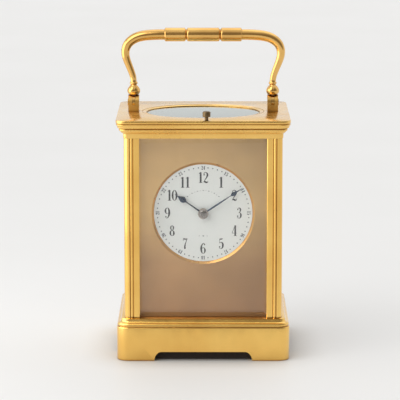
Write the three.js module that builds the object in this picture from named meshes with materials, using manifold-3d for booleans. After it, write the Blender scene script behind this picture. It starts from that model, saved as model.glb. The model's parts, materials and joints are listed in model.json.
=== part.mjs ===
// Carriage clock: a brass travelling clock with bevelled glasses, a folding handle, a repeat button,
// a spring-driven movement with a platform escapement, and a strike on a coiled gong.
// Millimetres, +Z up, the dial faces -Y, and the origin is at the centre of the base's underside.
import * as THREE from 'three';
import { mergeVertices } from 'three/addons/utils/BufferGeometryUtils.js';
import Module from 'manifold-3d';

const wasm = await Module();
wasm.setup();

const TURN = 2 * Math.PI;
const CONTACT = 0.02; // gap left between pieces that are screwed together
const PAST = 1; // how far a cutting tool runs past the face that it opens

// ---- driving dimensions: case -------------------------------------------------------------------
const CASE_HALF_WIDTH = 47.6;
const CASE_HALF_DEPTH = 41.5;
const DECK_TOP = 23.2;
const CORNICE_BOTTOM = 123.1;
const CASE_TOP = 133.2;
const BASE_CORNER = 6.5;
const CORNICE_CORNER = 5.7;
// mouldings as [half width, height]; the half depth is smaller by the same difference all the way up
const BASE_PROFILE = [
  [47.6, 0], [47.6, 18.6], [46.9, 18.9], [47.2, 19.5], [47.2, 20.2], [46.9, 20.7],
  [45.8, 21.2], [45.2, 22.3], [45.0, 23.2],
];
const CORNICE_PROFILE = [
  [43.5, 123.1], [43.7, 125.8], [44.7, 126.5], [45.4, 127.2], [45.9, 127.6], [45.9, 128.3],
  [45.6, 128.7], [46.7, 128.9], [46.9, 129.7], [47.5, 130.6], [47.1, 131.3], [47.6, 131.7],
  [47.6, 133.2],
];
const BASE_WALL = 3;
const BASE_HOLLOW_TOP = 18.2;
const FOOT_LENGTH = 20.7; // each foot, from the case's side to the start of the cut-out
const CUTOUT_HEIGHT = 5.1;
const CUTOUT_CURVE = 4;
const BASE_PLATE = { halfWidth: 40, halfDepth: 34, bottom: 16.6, top: 18 };

// pillars, square in plan with a quarter round, a bead and a flat fillet on both outer faces
const PILLAR_OUTER_X = 43.3;
const PILLAR_OUTER_Y = 37.2;
const PILLAR_SIDE = 8.45;
const QUARTER_ROUND = 3;
const BEAD_WIDTH = 1.45;
const BEAD_HEIGHT = 0.55;
const PILLAR_QUIRK = 0.35;
const FILLET_RECESS = 0.3;
const GLASS_THICKNESS = 2;
const GLASS_RECESS = 2.2; // from a pillar's outermost face to the glass
const GLASS_GROOVE = 1.65; // depth of the groove that holds a glass
const GROOVE_PLAY = 0.2;
const GLASS_PLAY = 0.1; // above and below a glass
const CHAMFER = 1.2;

// oval window in the top
const OVAL_FACETS = 24;
const OVAL = { x: 34.15, y: 28 };
const OVAL_SIGHT = { x: 31.7, y: 25.7 };
const OVAL_BEVEL_BOTTOM = 132.8;
const OVAL_GLASS = { x: 33.2, y: 27.2, bottom: 130.6, edge: 131.7, top: 132.4, bevel: 2.6 };
const OVAL_SEAT = { play: 0.2, top: 132.12 };
const CORNICE_POCKET = { halfWidth: 34.4, halfDepth: 29, top: 129.4 };

// rear door
const DOOR = { left: -34.5, bottom: 23.6, top: 122.7, front: 32.5, back: 35.5 };
const DOOR_BAR = 4;
const DOOR_HINGE = { x: 33, y: 34, pinRadius: 0.8, holeRadius: 1.05, pinReach: 1.4 };
const DOOR_GLASS_INSET = 0.5;
const KNOB = { x: -32.5, z: 73.2 };

// ---- driving dimensions: handle -----------------------------------------------------------------
const POST_X = 38.7;
const POST_WIDTH = 5.9;
const POST_RADIUS = 4.2; // half the depth, and the round top about the pivot
const PIVOT_Z = 138.2;
const TONGUE_WIDTH = 1.6;
const TONGUE_RADIUS = 4.1;
const NECK_HALF_DEPTH = 2;
const SLOT_WIDTH = 2;
const SLOT_PLAY = 0.25; // between the slot's floor and the tongue
const PIVOT_RADIUS = 1;
const PIVOT_HOLE = 1.15;
const PIVOT_HEAD = { radius: 1.9, edge: 0.5, crown: 0.9 };
// half of the bail as [x, z, radius], from the middle of the grip down to the knuckle
const BAIL = [
  [0, 175.9, 1.6], [21.6, 175.9, 1.6], [21.7, 175.9, 2.95], [27, 175.8, 2.95], [32, 175.5, 2.9],
  [36.2, 174.8, 2.85], [39.6, 173.5, 2.75], [41.9, 171.4, 2.55], [43, 168.7, 2.35],
  [43.1, 165.6, 2.2], [42.2, 162.1, 2.05], [40.8, 158.4, 1.9], [39.4, 154.8, 1.8],
  [38.7, 151.9, 1.75], [38.7, 150.5, 1.75],
];
const GRIP_HALF_LENGTH = 21.4;
const GRIP_RADIUS = 3.85;
const GRIP_BORE = 1.75;
const GRIP_GROOVES = [-9.4, 9.4];
const GRIP_GROOVE = { halfWidth: 0.8, depth: 0.8 };
const GRIP_CHAMFER = 0.5;
// knuckle above the post as [radius, height above the pivot]
const KNUCKLE = [
  [0, 4.5], [2.4, 4.5], [3.3, 5.3], [3.55, 6.6], [3.2, 7.9], [2.2, 9.2], [1.7, 9.8],
  [2.15, 10.4], [2.15, 11.2], [1.75, 12.2], [0, 12.2],
];

// ---- driving dimensions: repeat work ------------------------------------------------------------
const BUTTON = { x: 1.8, y: -38.2, stemRadius: 1, headRadius: 2.15, stemBottom: 130.7 };
const BUTTON_HEAD_BOTTOM = 135.2;
const BUTTON_HEAD_TOP = 138.2;
const BUTTON_HOLE = { radius: 1.25, bottom: 128.95 };
const LEVER = { front: -38.6, back: -27.6, halfWidth: 0.9, bottom: 129.4, top: 130.4, pivotY: -31.5 };
const LEVER_TAIL = { front: -28.3, bottom: 117 };
const LEVER_SLOT = { halfWidth: 1.9, front: -38.9, back: -27.3, bottom: 127.4, top: 131.6 };

// ---- driving dimensions: dial and hands ---------------------------------------------------------
const DIAL_Z = 80.6;
const MASK = { halfWidth: 34.7, bottom: 23.4, top: 122.9, front: -29.5, back: -28.5 };
const MASK_FOOT = { x: 29, heights: [30, 108], radius: 1.2 };
const DIAL_SIGHT = 27.05;
const DIAL_BEVEL = 1.25;
const DIAL = { radius: 28.6, front: -28.4, back: -27.4, hole: 2.6 };
const DIAL_FOOT = { distance: 24, radius: 0.9 };
const HOUR_HAND_ANGLE = 304.7; // degrees clockwise from twelve
const MINUTE_HAND_ANGLE = 56.4;
// half outlines as [distance from the centre, half width]
const HOUR_HAND = [
  [2.6, 0.4], [11.2, 0.3], [12.2, 1.2], [13.6, 1.7], [15, 1.25], [16.4, 0.5], [18.9, 0.12],
];
const MINUTE_HAND = [
  [2.2, 0.38], [17.9, 0.2], [19, 0.85], [20.3, 1.1], [21.6, 0.5], [26, 0.1],
];
const HOUR_HAND_Y = [-30.7, -30.3];
const MINUTE_HAND_Y = [-31.5, -31.1];
const HAND_CAP = { radius: 2.8, back: -31.52, front: -32.5 };

// ---- driving dimensions: movement ---------------------------------------------------------------
const FRONT_PLATE = { front: -22, back: -20 };
const BACK_PLATE = { front: 16, back: 18 };
const PLATE = { halfWidth: 32, bottom: DECK_TOP + CONTACT, top: 111 };
const MOVEMENT_PILLAR = { x: 28, low: 29, high: 106, radius: 2.6 };
const ADDENDUM = 0.65; // tooth height above the pitch circle, in modules
const DEDENDUM = 1.15;
const ARBOR_RADIUS = 0.9;
const ARBOR_PIVOT = 0.5;
const PIVOT_HOLE_RADIUS = 0.75;
const WHEEL_THICKNESS = 1.1;
const PINION_LENGTH = 2.2;
const HUB_RADIUS = 1.9;

const TRAIN = {
  barrel: { teeth: 48, module: 0.62 },
  intermediate: { teeth: 40, module: 0.55 },
  strikeIntermediate: { teeth: 40, module: 0.45 },
  centre: { teeth: 64, module: 0.36 },
  third: { teeth: 60, module: 0.3 },
  contrate: { teeth: 48, module: 0.3 },
  pinWheel: { teeth: 48, module: 0.32 },
  cannon: { teeth: 12, module: 0.4 },
  minute: { teeth: 36, module: 0.4 },
  minutePinion: { teeth: 10, module: 0.384 },
  hour: { teeth: 40, module: 0.384 },
};
const PINION_LEAVES = 8;
const ESCAPE_PINION_LEAVES = 6;
const FLY_LEAVES = 6;

// depths of the layers between the plates, as the front face of each wheel
const LAYER = { intermediate: -18.6, great: -15, centre: -10, third: -4, contrate: 1.6, fly: 2.5 };
const BARREL = { radius: 13.4, wall: 1, front: -12.6, back: 8, bore: 2.25 };
const MAINSPRING = {
  turns: 2, steps: 20, inner: 4, outer: 11.6, halfThickness: 0.2, halfHeight: 7,
};
const HAIRSPRING = {
  turns: 3, steps: 30, inner: 1.4, outer: 4.8, halfThickness: 0.1, halfHeight: 0.2,
};
const WINDING = { radius: 1.9, square: 3.2, ratchetRadius: 5.6, ratchetTeeth: 16, end: 27 };
const PLATFORM = { halfWidth: 14, bottom: 111.02, top: 112.6 };
const ESCAPE = { radius: 3.6, teeth: 15, phase: 0.05, bottom: 113.6, top: 114.1 };
const PALLET_DISTANCE = 5.38; // from the escape wheel's axis to the lever's
const BALANCE = { y: -9, radius: 7.6, rim: 1, bottom: 116.4, top: 117.4 };
const GONG = { z: 61, inner: 21.5, outer: 27.5, turns: 2.5, wire: 0.9, y: 22.5 };

// ---- materials ----------------------------------------------------------------------------------
const finish = (color, roughness, metalness) =>
  new THREE.MeshStandardMaterial({ color, roughness, metalness });
const MATERIALS = {
  gilt: finish(0xd8aa5c, 0.22, 1),
  satinGilt: finish(0xb28c60, 0.5, 1),
  glass: new THREE.MeshStandardMaterial({
    color: 0xd6e6df, roughness: 0.03, metalness: 0, transparent: true, opacity: 0.3,
  }),
  enamel: finish(0xdee3de, 0.18, 0),
  blued: finish(0x2b3d55, 0.3, 1),
  steel: finish(0xa9a9ab, 0.28, 1),
  brass: finish(0xc9a254, 0.35, 1),
};

// ---- helpers: solids ----------------------------------------------------------------------------
function toSolid(geometry) {
  const bare = geometry.clone();
  bare.deleteAttribute('normal');
  bare.deleteAttribute('uv');
  const merged = mergeVertices(bare);
  const source = merged.index.array;
  const triangles = [];
  for (let i = 0; i < source.length; i += 3) {
    const [a, b, c] = [source[i], source[i + 1], source[i + 2]];
    if (a !== b && b !== c && c !== a) {
      triangles.push(a, b, c);
    }
  }
  return new wasm.Manifold(new wasm.Mesh({
    numProp: 3,
    vertProperties: new Float32Array(merged.attributes.position.array),
    triVerts: new Uint32Array(triangles),
  }));
}

function toGeometry(solid) {
  const mesh = solid.getMesh();
  const geometry = new THREE.BufferGeometry();
  geometry.setAttribute('position', new THREE.BufferAttribute(mesh.vertProperties, 3));
  geometry.setIndex(new THREE.BufferAttribute(mesh.triVerts, 1));
  return geometry;
}

const join = (first, ...rest) => rest.reduce((sum, item) => sum.add(item), first);
const cut = (first, ...rest) => rest.reduce((sum, item) => sum.subtract(item), first);

function block(x0, x1, y0, y1, z0, z1) {
  const geometry = new THREE.BoxGeometry(x1 - x0, y1 - y0, z1 - z0);
  geometry.translate((x0 + x1) / 2, (y0 + y1) / 2, (z0 + z1) / 2);
  return toSolid(geometry);
}

// A closed profile of [radius, height] pairs turned about an axis through [x, y, z].
function turned(profile, axis, segments, at = [0, 0, 0]) {
  const area = profile.reduce((sum, [r, h], i) => {
    const [nextR, nextH] = profile[(i + 1) % profile.length];
    return sum + r * nextH - nextR * h;
  }, 0);
  const ordered = area < 0 ? [...profile].reverse() : profile;
  const onAxis = ordered.some(([r]) => r === 0);
  const start = onAxis ? ordered.findIndex(([r], i) => r === 0 && ordered.at(i - 1)[0] === 0) : 0;
  const rolled = [...ordered.slice(start), ...ordered.slice(0, start)];
  const closed = onAxis ? rolled : [...rolled, rolled[0]];
  const points = closed.map(([r, h]) => new THREE.Vector2(r, h));
  const geometry = new THREE.LatheGeometry(points, segments);
  if (axis === 'z') {
    geometry.rotateX(Math.PI / 2);
  } else if (axis === 'x') {
    geometry.rotateZ(-Math.PI / 2);
  }
  geometry.translate(...at);
  return toSolid(geometry);
}

const rod = (radius, from, to, axis, at, segments = 12) =>
  turned([[0, from], [radius, from], [radius, to], [0, to]], axis, segments, at);

function circle(x, y, radius, segments, phase = 0) {
  return Array.from({ length: segments }, (_, i) => {
    const angle = phase + (i / segments) * TURN;
    return new THREE.Vector2(x + radius * Math.cos(angle), y + radius * Math.sin(angle));
  });
}

function ellipse(semiX, semiY, segments) {
  return circle(0, 0, 1, segments).map((p) => new THREE.Vector2(p.x * semiX, p.y * semiY));
}

function outline(points, holes = []) {
  const shape = new THREE.Shape(points);
  shape.holes = holes.map((hole) => new THREE.Path(hole));
  return shape;
}

// A shape drawn in X and Y, standing between two heights.
function slab(shape, bottom, top) {
  const geometry = new THREE.ExtrudeGeometry(shape, { depth: top - bottom, bevelEnabled: false });
  geometry.translate(0, 0, bottom);
  return toSolid(geometry);
}

// A shape drawn in X and Z as seen from the front, between two depths.
function plate(shape, front, back) {
  const geometry = new THREE.ExtrudeGeometry(shape, { depth: back - front, bevelEnabled: false });
  geometry.rotateX(Math.PI / 2);
  geometry.translate(0, back, 0);
  return toSolid(geometry);
}

// Rings of points joined into one closed body; each ring turns anticlockwise seen from the last one.
function lofted(rings, capOutline) {
  const count = rings[0].length;
  const positions = rings.flatMap((ring) => ring.flatMap((p) => [p.x, p.y, p.z]));
  const index = [];
  for (let ring = 0; ring + 1 < rings.length; ring++) {
    for (let i = 0; i < count; i++) {
      const a = ring * count + i;
      const b = ring * count + ((i + 1) % count);
      index.push(a, b, b + count, a, b + count, a + count);
    }
  }
  const last = (rings.length - 1) * count;
  for (const [a, b, c] of THREE.ShapeUtils.triangulateShape(capOutline, [])) {
    index.push(a, c, b, last + a, last + b, last + c);
  }
  const geometry = new THREE.BufferGeometry();
  geometry.setAttribute('position', new THREE.Float32BufferAttribute(positions, 3));
  geometry.setIndex(index);
  return geometry;
}

// Flat outlines stacked at rising heights: a list of [outline, height].
function stacked(levels) {
  const rings = levels.map(([points, z]) => points.map((p) => new THREE.Vector3(p.x, p.y, z)));
  return toSolid(lofted(rings, levels[0][0]));
}

// A section carried along a flat path of [x, y, scale]; it stays square to the path.
function carried(path, section) {
  const points = path.map(([x, y]) => new THREE.Vector2(x, y));
  const rings = points.map((point, i) => {
    const before = points[Math.max(i - 1, 0)];
    const after = points[Math.min(i + 1, points.length - 1)];
    const ahead = after.clone().sub(before).normalize();
    const scale = path[i][2] ?? 1;
    return section.map((s) => new THREE.Vector3(
      point.x - ahead.y * s.x * scale,
      point.y + ahead.x * s.x * scale,
      s.y * scale,
    ));
  });
  return lofted(rings, section);
}

function roundedRectangle(halfWidth, halfDepth, radius, steps = 4) {
  const corners = [[1, 1], [-1, 1], [-1, -1], [1, -1]];
  return corners.flatMap(([sideX, sideY], quarter) =>
    Array.from({ length: steps + 1 }, (_, i) => {
      const angle = ((quarter + i / steps) * TURN) / 4;
      return new THREE.Vector2(
        sideX * (halfWidth - radius) + radius * Math.cos(angle),
        sideY * (halfDepth - radius) + radius * Math.sin(angle),
      );
    }));
}

function moulded(profile, corner) {
  return stacked(profile.map(([halfWidth, z]) => {
    const inset = CASE_HALF_WIDTH - halfWidth;
    return [roundedRectangle(halfWidth, CASE_HALF_DEPTH - inset, corner - inset), z];
  }));
}

// ---- helpers: gearing ---------------------------------------------------------------------------
const pitchRadius = ({ teeth, module }) => (teeth * module) / 2;

// Pointed teeth, narrow enough at the pitch circle to leave clear backlash.
function toothOutline({ teeth, module }, phase = 0) {
  const pitch = (teeth * module) / 2;
  const tip = pitch + ADDENDUM * module;
  const root = pitch - DEDENDUM * module;
  return Array.from({ length: 2 * teeth }, (_, i) => {
    const angle = phase + (i / (2 * teeth)) * TURN;
    const radius = i % 2 === 0 ? tip : root;
    return new THREE.Vector2(radius * Math.cos(angle), radius * Math.sin(angle));
  });
}

// Four openings between a wheel's rim and its hub.
function crossings(rimRadius, hubRadius) {
  const halfArm = 0.9;
  return [0, 1, 2, 3].map((quarter) => {
    const middle = ((quarter + 0.5) / 4) * TURN;
    const along = (radius, side) => {
      const angle = middle + side * (TURN / 8 - halfArm / radius);
      return new THREE.Vector2(radius * Math.cos(angle), radius * Math.sin(angle));
    };
    const outer = [-1, -0.33, 0.33, 1].map((side) => along(rimRadius, side));
    return [...outer, along(hubRadius, 1), along(hubRadius, -1)];
  });
}

function wheel(gear, front, { phase = 0, crossed = true, thickness = WHEEL_THICKNESS } = {}) {
  const rim = pitchRadius(gear) - DEDENDUM * gear.module - 1;
  const holes = crossed ? crossings(rim, 2.4) : [];
  return plate(outline(toothOutline(gear, phase), holes), front, front + thickness);
}

const pinion = (leaves, module, front, phase, length = PINION_LENGTH) =>
  plate(outline(toothOutline({ teeth: leaves, module }, phase)), front, front + length);

// Turns the second gear so that its gaps meet the first one's teeth; `towards` points to it.
const meshPhase = (first, firstPhase, second, towards) =>
  towards + Math.PI + Math.PI / second - ((firstPhase - towards) * first) / second;

const bearing = (from, to) => Math.atan2(to.z - from.z, to.x - from.x);

// The point at given distances from two others, on the right of the way from the first to the second.
function meetingPoint(from, fromDistance, to, toDistance) {
  const span = Math.hypot(to.x - from.x, to.z - from.z);
  const along = (fromDistance ** 2 - toDistance ** 2 + span ** 2) / (2 * span);
  const across = Math.sqrt(fromDistance ** 2 - along ** 2);
  const way = { x: (to.x - from.x) / span, z: (to.z - from.z) / span };
  return {
    x: from.x + way.x * along + way.z * across,
    z: from.z + way.z * along - way.x * across,
  };
}

function stepFrom(from, distance, degrees) {
  const angle = THREE.MathUtils.degToRad(degrees);
  return { x: from.x + distance * Math.cos(angle), z: from.z + distance * Math.sin(angle) };
}

// A shaft between the plates, with a fine pivot in each of them.
function arbor(radius = ARBOR_RADIUS) {
  const front = FRONT_PLATE.back + 0.3;
  const back = BACK_PLATE.front - 0.3;
  return turned([
    [0, FRONT_PLATE.front + 0.2], [ARBOR_PIVOT, FRONT_PLATE.front + 0.2], [ARBOR_PIVOT, front],
    [radius, front], [radius, back], [ARBOR_PIVOT, back], [ARBOR_PIVOT, BACK_PLATE.back - 0.2],
    [0, BACK_PLATE.back - 0.2],
  ], 'y', 6);
}

// ---- where each arbor stands, in X and Z --------------------------------------------------------
const meshDistance = (gear, leaves) => ((gear.teeth + leaves) * gear.module) / 2;
const CENTRE = { x: 0, z: DIAL_Z };
const GOING_BARREL = { x: 16.2, z: 56.5 };
const STRIKE_BARREL = { x: -16.2, z: 56.5 };
const INTERMEDIATE = meetingPoint(
  GOING_BARREL, meshDistance(TRAIN.barrel, PINION_LEAVES),
  CENTRE, meshDistance(TRAIN.intermediate, PINION_LEAVES),
);
const THIRD = stepFrom(CENTRE, meshDistance(TRAIN.centre, PINION_LEAVES), 120);
const CONTRATE = stepFrom(THIRD, meshDistance(TRAIN.third, PINION_LEAVES), 45);
const STRIKE_INTERMEDIATE = stepFrom(
  STRIKE_BARREL, meshDistance(TRAIN.barrel, PINION_LEAVES), 110,
);
const PIN_WHEEL = stepFrom(
  STRIKE_INTERMEDIATE, meshDistance(TRAIN.strikeIntermediate, PINION_LEAVES), 80,
);
const FLY = stepFrom(PIN_WHEEL, meshDistance(TRAIN.pinWheel, FLY_LEAVES), 80);
const HAMMER = { x: -26, z: 95 };
const MINUTE_STUD = stepFrom(CENTRE, meshDistance(TRAIN.cannon, TRAIN.minute.teeth), -50);

// ---- case ---------------------------------------------------------------------------------------
function footCutout(halfLength) {
  const shape = new THREE.Shape();
  shape.moveTo(-halfLength, -PAST);
  shape.lineTo(-halfLength, 0);
  shape.absellipse(
    -halfLength + CUTOUT_CURVE, 0, CUTOUT_CURVE, CUTOUT_HEIGHT, Math.PI, Math.PI / 2, true,
  );
  shape.absellipse(
    halfLength - CUTOUT_CURVE, 0, CUTOUT_CURVE, CUTOUT_HEIGHT, Math.PI / 2, 0, true,
  );
  shape.lineTo(halfLength, -PAST);
  return outline(shape.getPoints(6));
}

function baseMoulding() {
  const hollow = slab(outline(roundedRectangle(
    CASE_HALF_WIDTH - BASE_WALL, CASE_HALF_DEPTH - BASE_WALL, BASE_CORNER - BASE_WALL, 3,
  )), -PAST, BASE_HOLLOW_TOP);
  const frontAndBack = plate(
    footCutout(CASE_HALF_WIDTH - FOOT_LENGTH), -CASE_HALF_DEPTH - PAST, CASE_HALF_DEPTH + PAST,
  );
  const sides = plate(
    footCutout(CASE_HALF_DEPTH - FOOT_LENGTH), -CASE_HALF_WIDTH - PAST, CASE_HALF_WIDTH + PAST,
  ).rotate([0, 0, 90]);
  const hingeHole = rod(
    DOOR_HINGE.holeRadius, DOOR.bottom - DOOR_HINGE.pinReach - 1, DECK_TOP + PAST, 'z',
    [DOOR_HINGE.x, DOOR_HINGE.y, 0],
  );
  return cut(moulded(BASE_PROFILE, BASE_CORNER), hollow, frontAndBack, sides, hingeHole);
}

function basePlate() {
  const { halfWidth, halfDepth, bottom, top } = BASE_PLATE;
  return slab(outline(roundedRectangle(halfWidth, halfDepth, 3, 2)), bottom, top);
}

// Half of a pillar's outer moulding, as [distance along the face from the corner, recess].
function pillarFace() {
  const steps = 4;
  const round = Array.from({ length: steps + 1 }, (_, i) => {
    const angle = ((0.5 + i / (2 * steps)) * TURN) / 4;
    return [QUARTER_ROUND * (1 - Math.cos(angle)), QUARTER_ROUND * (1 - Math.sin(angle))];
  });
  const beadStart = QUARTER_ROUND + PILLAR_QUIRK;
  const beadEnd = beadStart + BEAD_WIDTH;
  const bead = [0, 0.25, 0.5, 0.75, 1].map((t) =>
    [beadStart + t * BEAD_WIDTH, BEAD_HEIGHT * (1 - Math.sin(t * Math.PI))]);
  return [
    ...round, [QUARTER_ROUND, BEAD_HEIGHT], ...bead, [beadEnd + PILLAR_QUIRK, BEAD_HEIGHT],
    [beadEnd + PILLAR_QUIRK, FILLET_RECESS], [PILLAR_SIDE, FILLET_RECESS],
  ];
}

// A pillar's plan with its outer corner at the origin, the case lying towards +X and +Y.
function pillarPlan(frontGroove) {
  const grooveStart = GLASS_RECESS - GROOVE_PLAY;
  const grooveEnd = GLASS_RECESS + GLASS_THICKNESS + GROOVE_PLAY;
  const face = pillarFace();
  const inner = PILLAR_SIDE - GLASS_GROOVE;
  const groove = [
    [PILLAR_SIDE, grooveStart], [inner, grooveStart], [inner, grooveEnd], [PILLAR_SIDE, grooveEnd],
  ];
  const alongX = [...face.map(([a, r]) => [a, r]), ...(frontGroove ? groove : [])];
  const alongY = [...face.slice(1), ...groove].map(([a, r]) => [r, a]).reverse();
  return [...alongY, ...alongX, [PILLAR_SIDE, PILLAR_SIDE]]
    .map(([x, y]) => new THREE.Vector2(x, y));
}

function pillar(sideX, sideY) {
  const plan = pillarPlan(sideY < 0).map((p) => new THREE.Vector2(
    sideX * (PILLAR_OUTER_X - p.x),
    sideY * (PILLAR_OUTER_Y - p.y),
  ));
  return slab(outline(plan), DECK_TOP + CONTACT, CORNICE_BOTTOM - CONTACT);
}

function cornice() {
  const segments = OVAL_FACETS;
  const { halfWidth, halfDepth, top } = CORNICE_POCKET;
  const pocket = block(-halfWidth, halfWidth, -halfDepth, halfDepth, CORNICE_BOTTOM - PAST, top);
  const seat = slab(
    outline(ellipse(OVAL_GLASS.x + OVAL_SEAT.play, OVAL_GLASS.y + OVAL_SEAT.play, segments)),
    top - PAST, OVAL_SEAT.top,
  );
  const slope = (OVAL.x - OVAL_SIGHT.x) / (CASE_TOP - OVAL_BEVEL_BOTTOM);
  const window = stacked([
    [ellipse(OVAL_SIGHT.x, OVAL_SIGHT.y, segments), top - PAST],
    [ellipse(OVAL_SIGHT.x, OVAL_SIGHT.y, segments), OVAL_BEVEL_BOTTOM],
    [ellipse(OVAL.x + slope, OVAL.y + slope, segments), CASE_TOP + 1],
  ]);
  const buttonHole = rod(
    BUTTON_HOLE.radius, BUTTON_HOLE.bottom, CASE_TOP + PAST, 'z', [BUTTON.x, BUTTON.y, 0],
  );
  const leverSlot = block(
    BUTTON.x - LEVER_SLOT.halfWidth, BUTTON.x + LEVER_SLOT.halfWidth,
    LEVER_SLOT.front, LEVER_SLOT.back, LEVER_SLOT.bottom, LEVER_SLOT.top,
  );
  const hingeHole = rod(
    DOOR_HINGE.holeRadius, CORNICE_BOTTOM - PAST, DOOR.top + DOOR_HINGE.pinReach + 1, 'z',
    [DOOR_HINGE.x, DOOR_HINGE.y, 0],
  );
  return cut(
    moulded(CORNICE_PROFILE, CORNICE_CORNER), pocket, seat, window, buttonHole, leverSlot, hingeHole,
  );
}

// A rectangular glass in the XZ plane with a ground bevel round its outer face at -Y.
function bevelledGlass(halfWidth, bottom, top) {
  const middle = (bottom + top) / 2;
  const halfHeight = (top - bottom) / 2;
  const rectangle = (inset) => [
    [1, 1], [-1, 1], [-1, -1], [1, -1],
  ].map(([x, y]) => new THREE.Vector2(x * (halfWidth - inset), y * (halfHeight - inset)));
  const geometry = lofted([
    rectangle(0).map((p) => new THREE.Vector3(p.x, p.y, 0)),
    rectangle(0).map((p) => new THREE.Vector3(p.x, p.y, GLASS_THICKNESS * 0.6)),
    rectangle(CHAMFER + GLASS_GROOVE).map((p) => new THREE.Vector3(p.x, p.y, GLASS_THICKNESS)),
  ], rectangle(0));
  geometry.rotateX(Math.PI / 2);
  geometry.translate(0, 0, middle);
  return toSolid(geometry);
}

function ovalGlass() {
  const { x, y, bottom, edge, top, bevel } = OVAL_GLASS;
  return stacked([
    [ellipse(x, y, OVAL_FACETS), bottom],
    [ellipse(x, y, OVAL_FACETS), edge],
    [ellipse(x - bevel, y - bevel, OVAL_FACETS), top],
  ]);
}

function doorFrame() {
  const edge = DOOR_HINGE.x + (DOOR.back - DOOR.front) / 2;
  const shape = outline([
    [DOOR.left, DOOR.bottom], [DOOR_HINGE.x, DOOR.bottom], [DOOR_HINGE.x, DOOR.top], [DOOR.left, DOOR.top],
  ].map(([x, z]) => new THREE.Vector2(x, z)));
  const bar = plate(shape, DOOR.front, DOOR.back);
  const roundEdge = rod(
    edge - DOOR_HINGE.x, DOOR.bottom, DOOR.top, 'z', [DOOR_HINGE.x, DOOR_HINGE.y, 0], 16,
  );
  const pin = rod(
    DOOR_HINGE.pinRadius, DOOR.bottom - DOOR_HINGE.pinReach, DOOR.top + DOOR_HINGE.pinReach, 'z',
    [DOOR_HINGE.x, DOOR_HINGE.y, 0], 8,
  );
  const window = block(
    DOOR.left + DOOR_BAR, edge - DOOR_BAR, DOOR.front - PAST, DOOR.back + PAST,
    DOOR.bottom + DOOR_BAR, DOOR.top - DOOR_BAR,
  );
  return cut(join(bar, roundEdge, pin), window);
}

function doorGlass() {
  const edge = DOOR_HINGE.x + (DOOR.back - DOOR.front) / 2;
  return block(
    DOOR.left + DOOR_BAR + GLASS_PLAY, edge - DOOR_BAR - GLASS_PLAY,
    DOOR.front + DOOR_GLASS_INSET, DOOR.back - DOOR_GLASS_INSET,
    DOOR.bottom + DOOR_BAR + GLASS_PLAY, DOOR.top - DOOR_BAR - GLASS_PLAY,
  );
}

const doorKnob = () => turned([
  [0, 0], [1.5, 0], [1.5, 0.5], [0.8, 1], [0.8, 1.8], [1.7, 2.6], [2, 3.6], [1.6, 4.6], [0, 5],
], 'y', 12);

// ---- handle -------------------------------------------------------------------------------------
// A forked post with a round top; its origin is on the pivot's axis.
function handlePost() {
  const foot = CASE_TOP + CONTACT - PIVOT_Z;
  const arc = circle(0, 0, POST_RADIUS, 20).slice(0, 11);
  const side = outline([
    new THREE.Vector2(-POST_RADIUS, foot), new THREE.Vector2(POST_RADIUS, foot), ...arc,
  ]);
  const geometry = new THREE.ExtrudeGeometry(side, { depth: POST_WIDTH, bevelEnabled: false });
  geometry.rotateX(Math.PI / 2);
  geometry.rotateZ(Math.PI / 2);
  geometry.translate(-POST_WIDTH / 2, 0, 0);
  const half = SLOT_WIDTH / 2;
  const neckRoom = NECK_HALF_DEPTH + SLOT_PLAY;
  return cut(
    toSolid(geometry),
    rod(TONGUE_RADIUS + SLOT_PLAY, -half, half, 'x', [0, 0, 0], 32),
    block(-half, half, -POST_RADIUS - PAST, POST_RADIUS + PAST, -neckRoom, POST_RADIUS + PAST),
    rod(PIVOT_HOLE, -POST_WIDTH, POST_WIDTH, 'x', [0, 0, 0], 12),
  );
}

// The pin that the handle turns on, with its screw head on the outer side.
function handlePivot(side) {
  const inner = -POST_WIDTH / 2 + 0.3;
  const face = POST_WIDTH / 2 + CONTACT;
  const { radius, edge, crown } = PIVOT_HEAD;
  return turned([
    [0, inner], [PIVOT_RADIUS, inner], [PIVOT_RADIUS, face], [radius, face],
    [radius, face + edge], [radius * 0.7, face + crown], [0, face + crown],
  ], 'x', 12).rotate([0, side < 0 ? 180 : 0, 0]);
}

function handleKnuckle() {
  const bulb = turned(KNUCKLE, 'z', 10);
  const tongue = rod(TONGUE_RADIUS, -TONGUE_WIDTH / 2, TONGUE_WIDTH / 2, 'x', [0, 0, 0], 16);
  const neck = block(
    -TONGUE_WIDTH / 2, TONGUE_WIDTH / 2, -NECK_HALF_DEPTH, NECK_HALF_DEPTH, 0, KNUCKLE[3][1],
  );
  const hole = rod(PIVOT_HOLE, -POST_WIDTH, POST_WIDTH, 'x', [0, 0, 0], 12);
  return cut(join(bulb, neck, tongue), hole);
}

function handleBail() {
  const left = BAIL.slice(1).map(([x, z, r]) => [-x, z - PIVOT_Z, r]).reverse();
  const right = BAIL.slice(1).map(([x, z, r]) => [x, z - PIVOT_Z, r]);
  const round = circle(0, 0, 1, 8);
  const geometry = carried([...left, ...right], round);
  geometry.rotateX(Math.PI / 2);
  return toSolid(geometry);
}

function handleGrip() {
  const { halfWidth, depth } = GRIP_GROOVE;
  const grooves = GRIP_GROOVES.flatMap((x) => [
    [GRIP_RADIUS, x - halfWidth], [GRIP_RADIUS - depth, x], [GRIP_RADIUS, x + halfWidth],
  ]);
  return turned([
    [GRIP_BORE, -GRIP_HALF_LENGTH], [GRIP_RADIUS - GRIP_CHAMFER, -GRIP_HALF_LENGTH],
    [GRIP_RADIUS, -GRIP_HALF_LENGTH + GRIP_CHAMFER], ...grooves,
    [GRIP_RADIUS, GRIP_HALF_LENGTH - GRIP_CHAMFER], [GRIP_RADIUS - GRIP_CHAMFER, GRIP_HALF_LENGTH],
    [GRIP_BORE, GRIP_HALF_LENGTH],
  ], 'x', 12);
}

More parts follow.
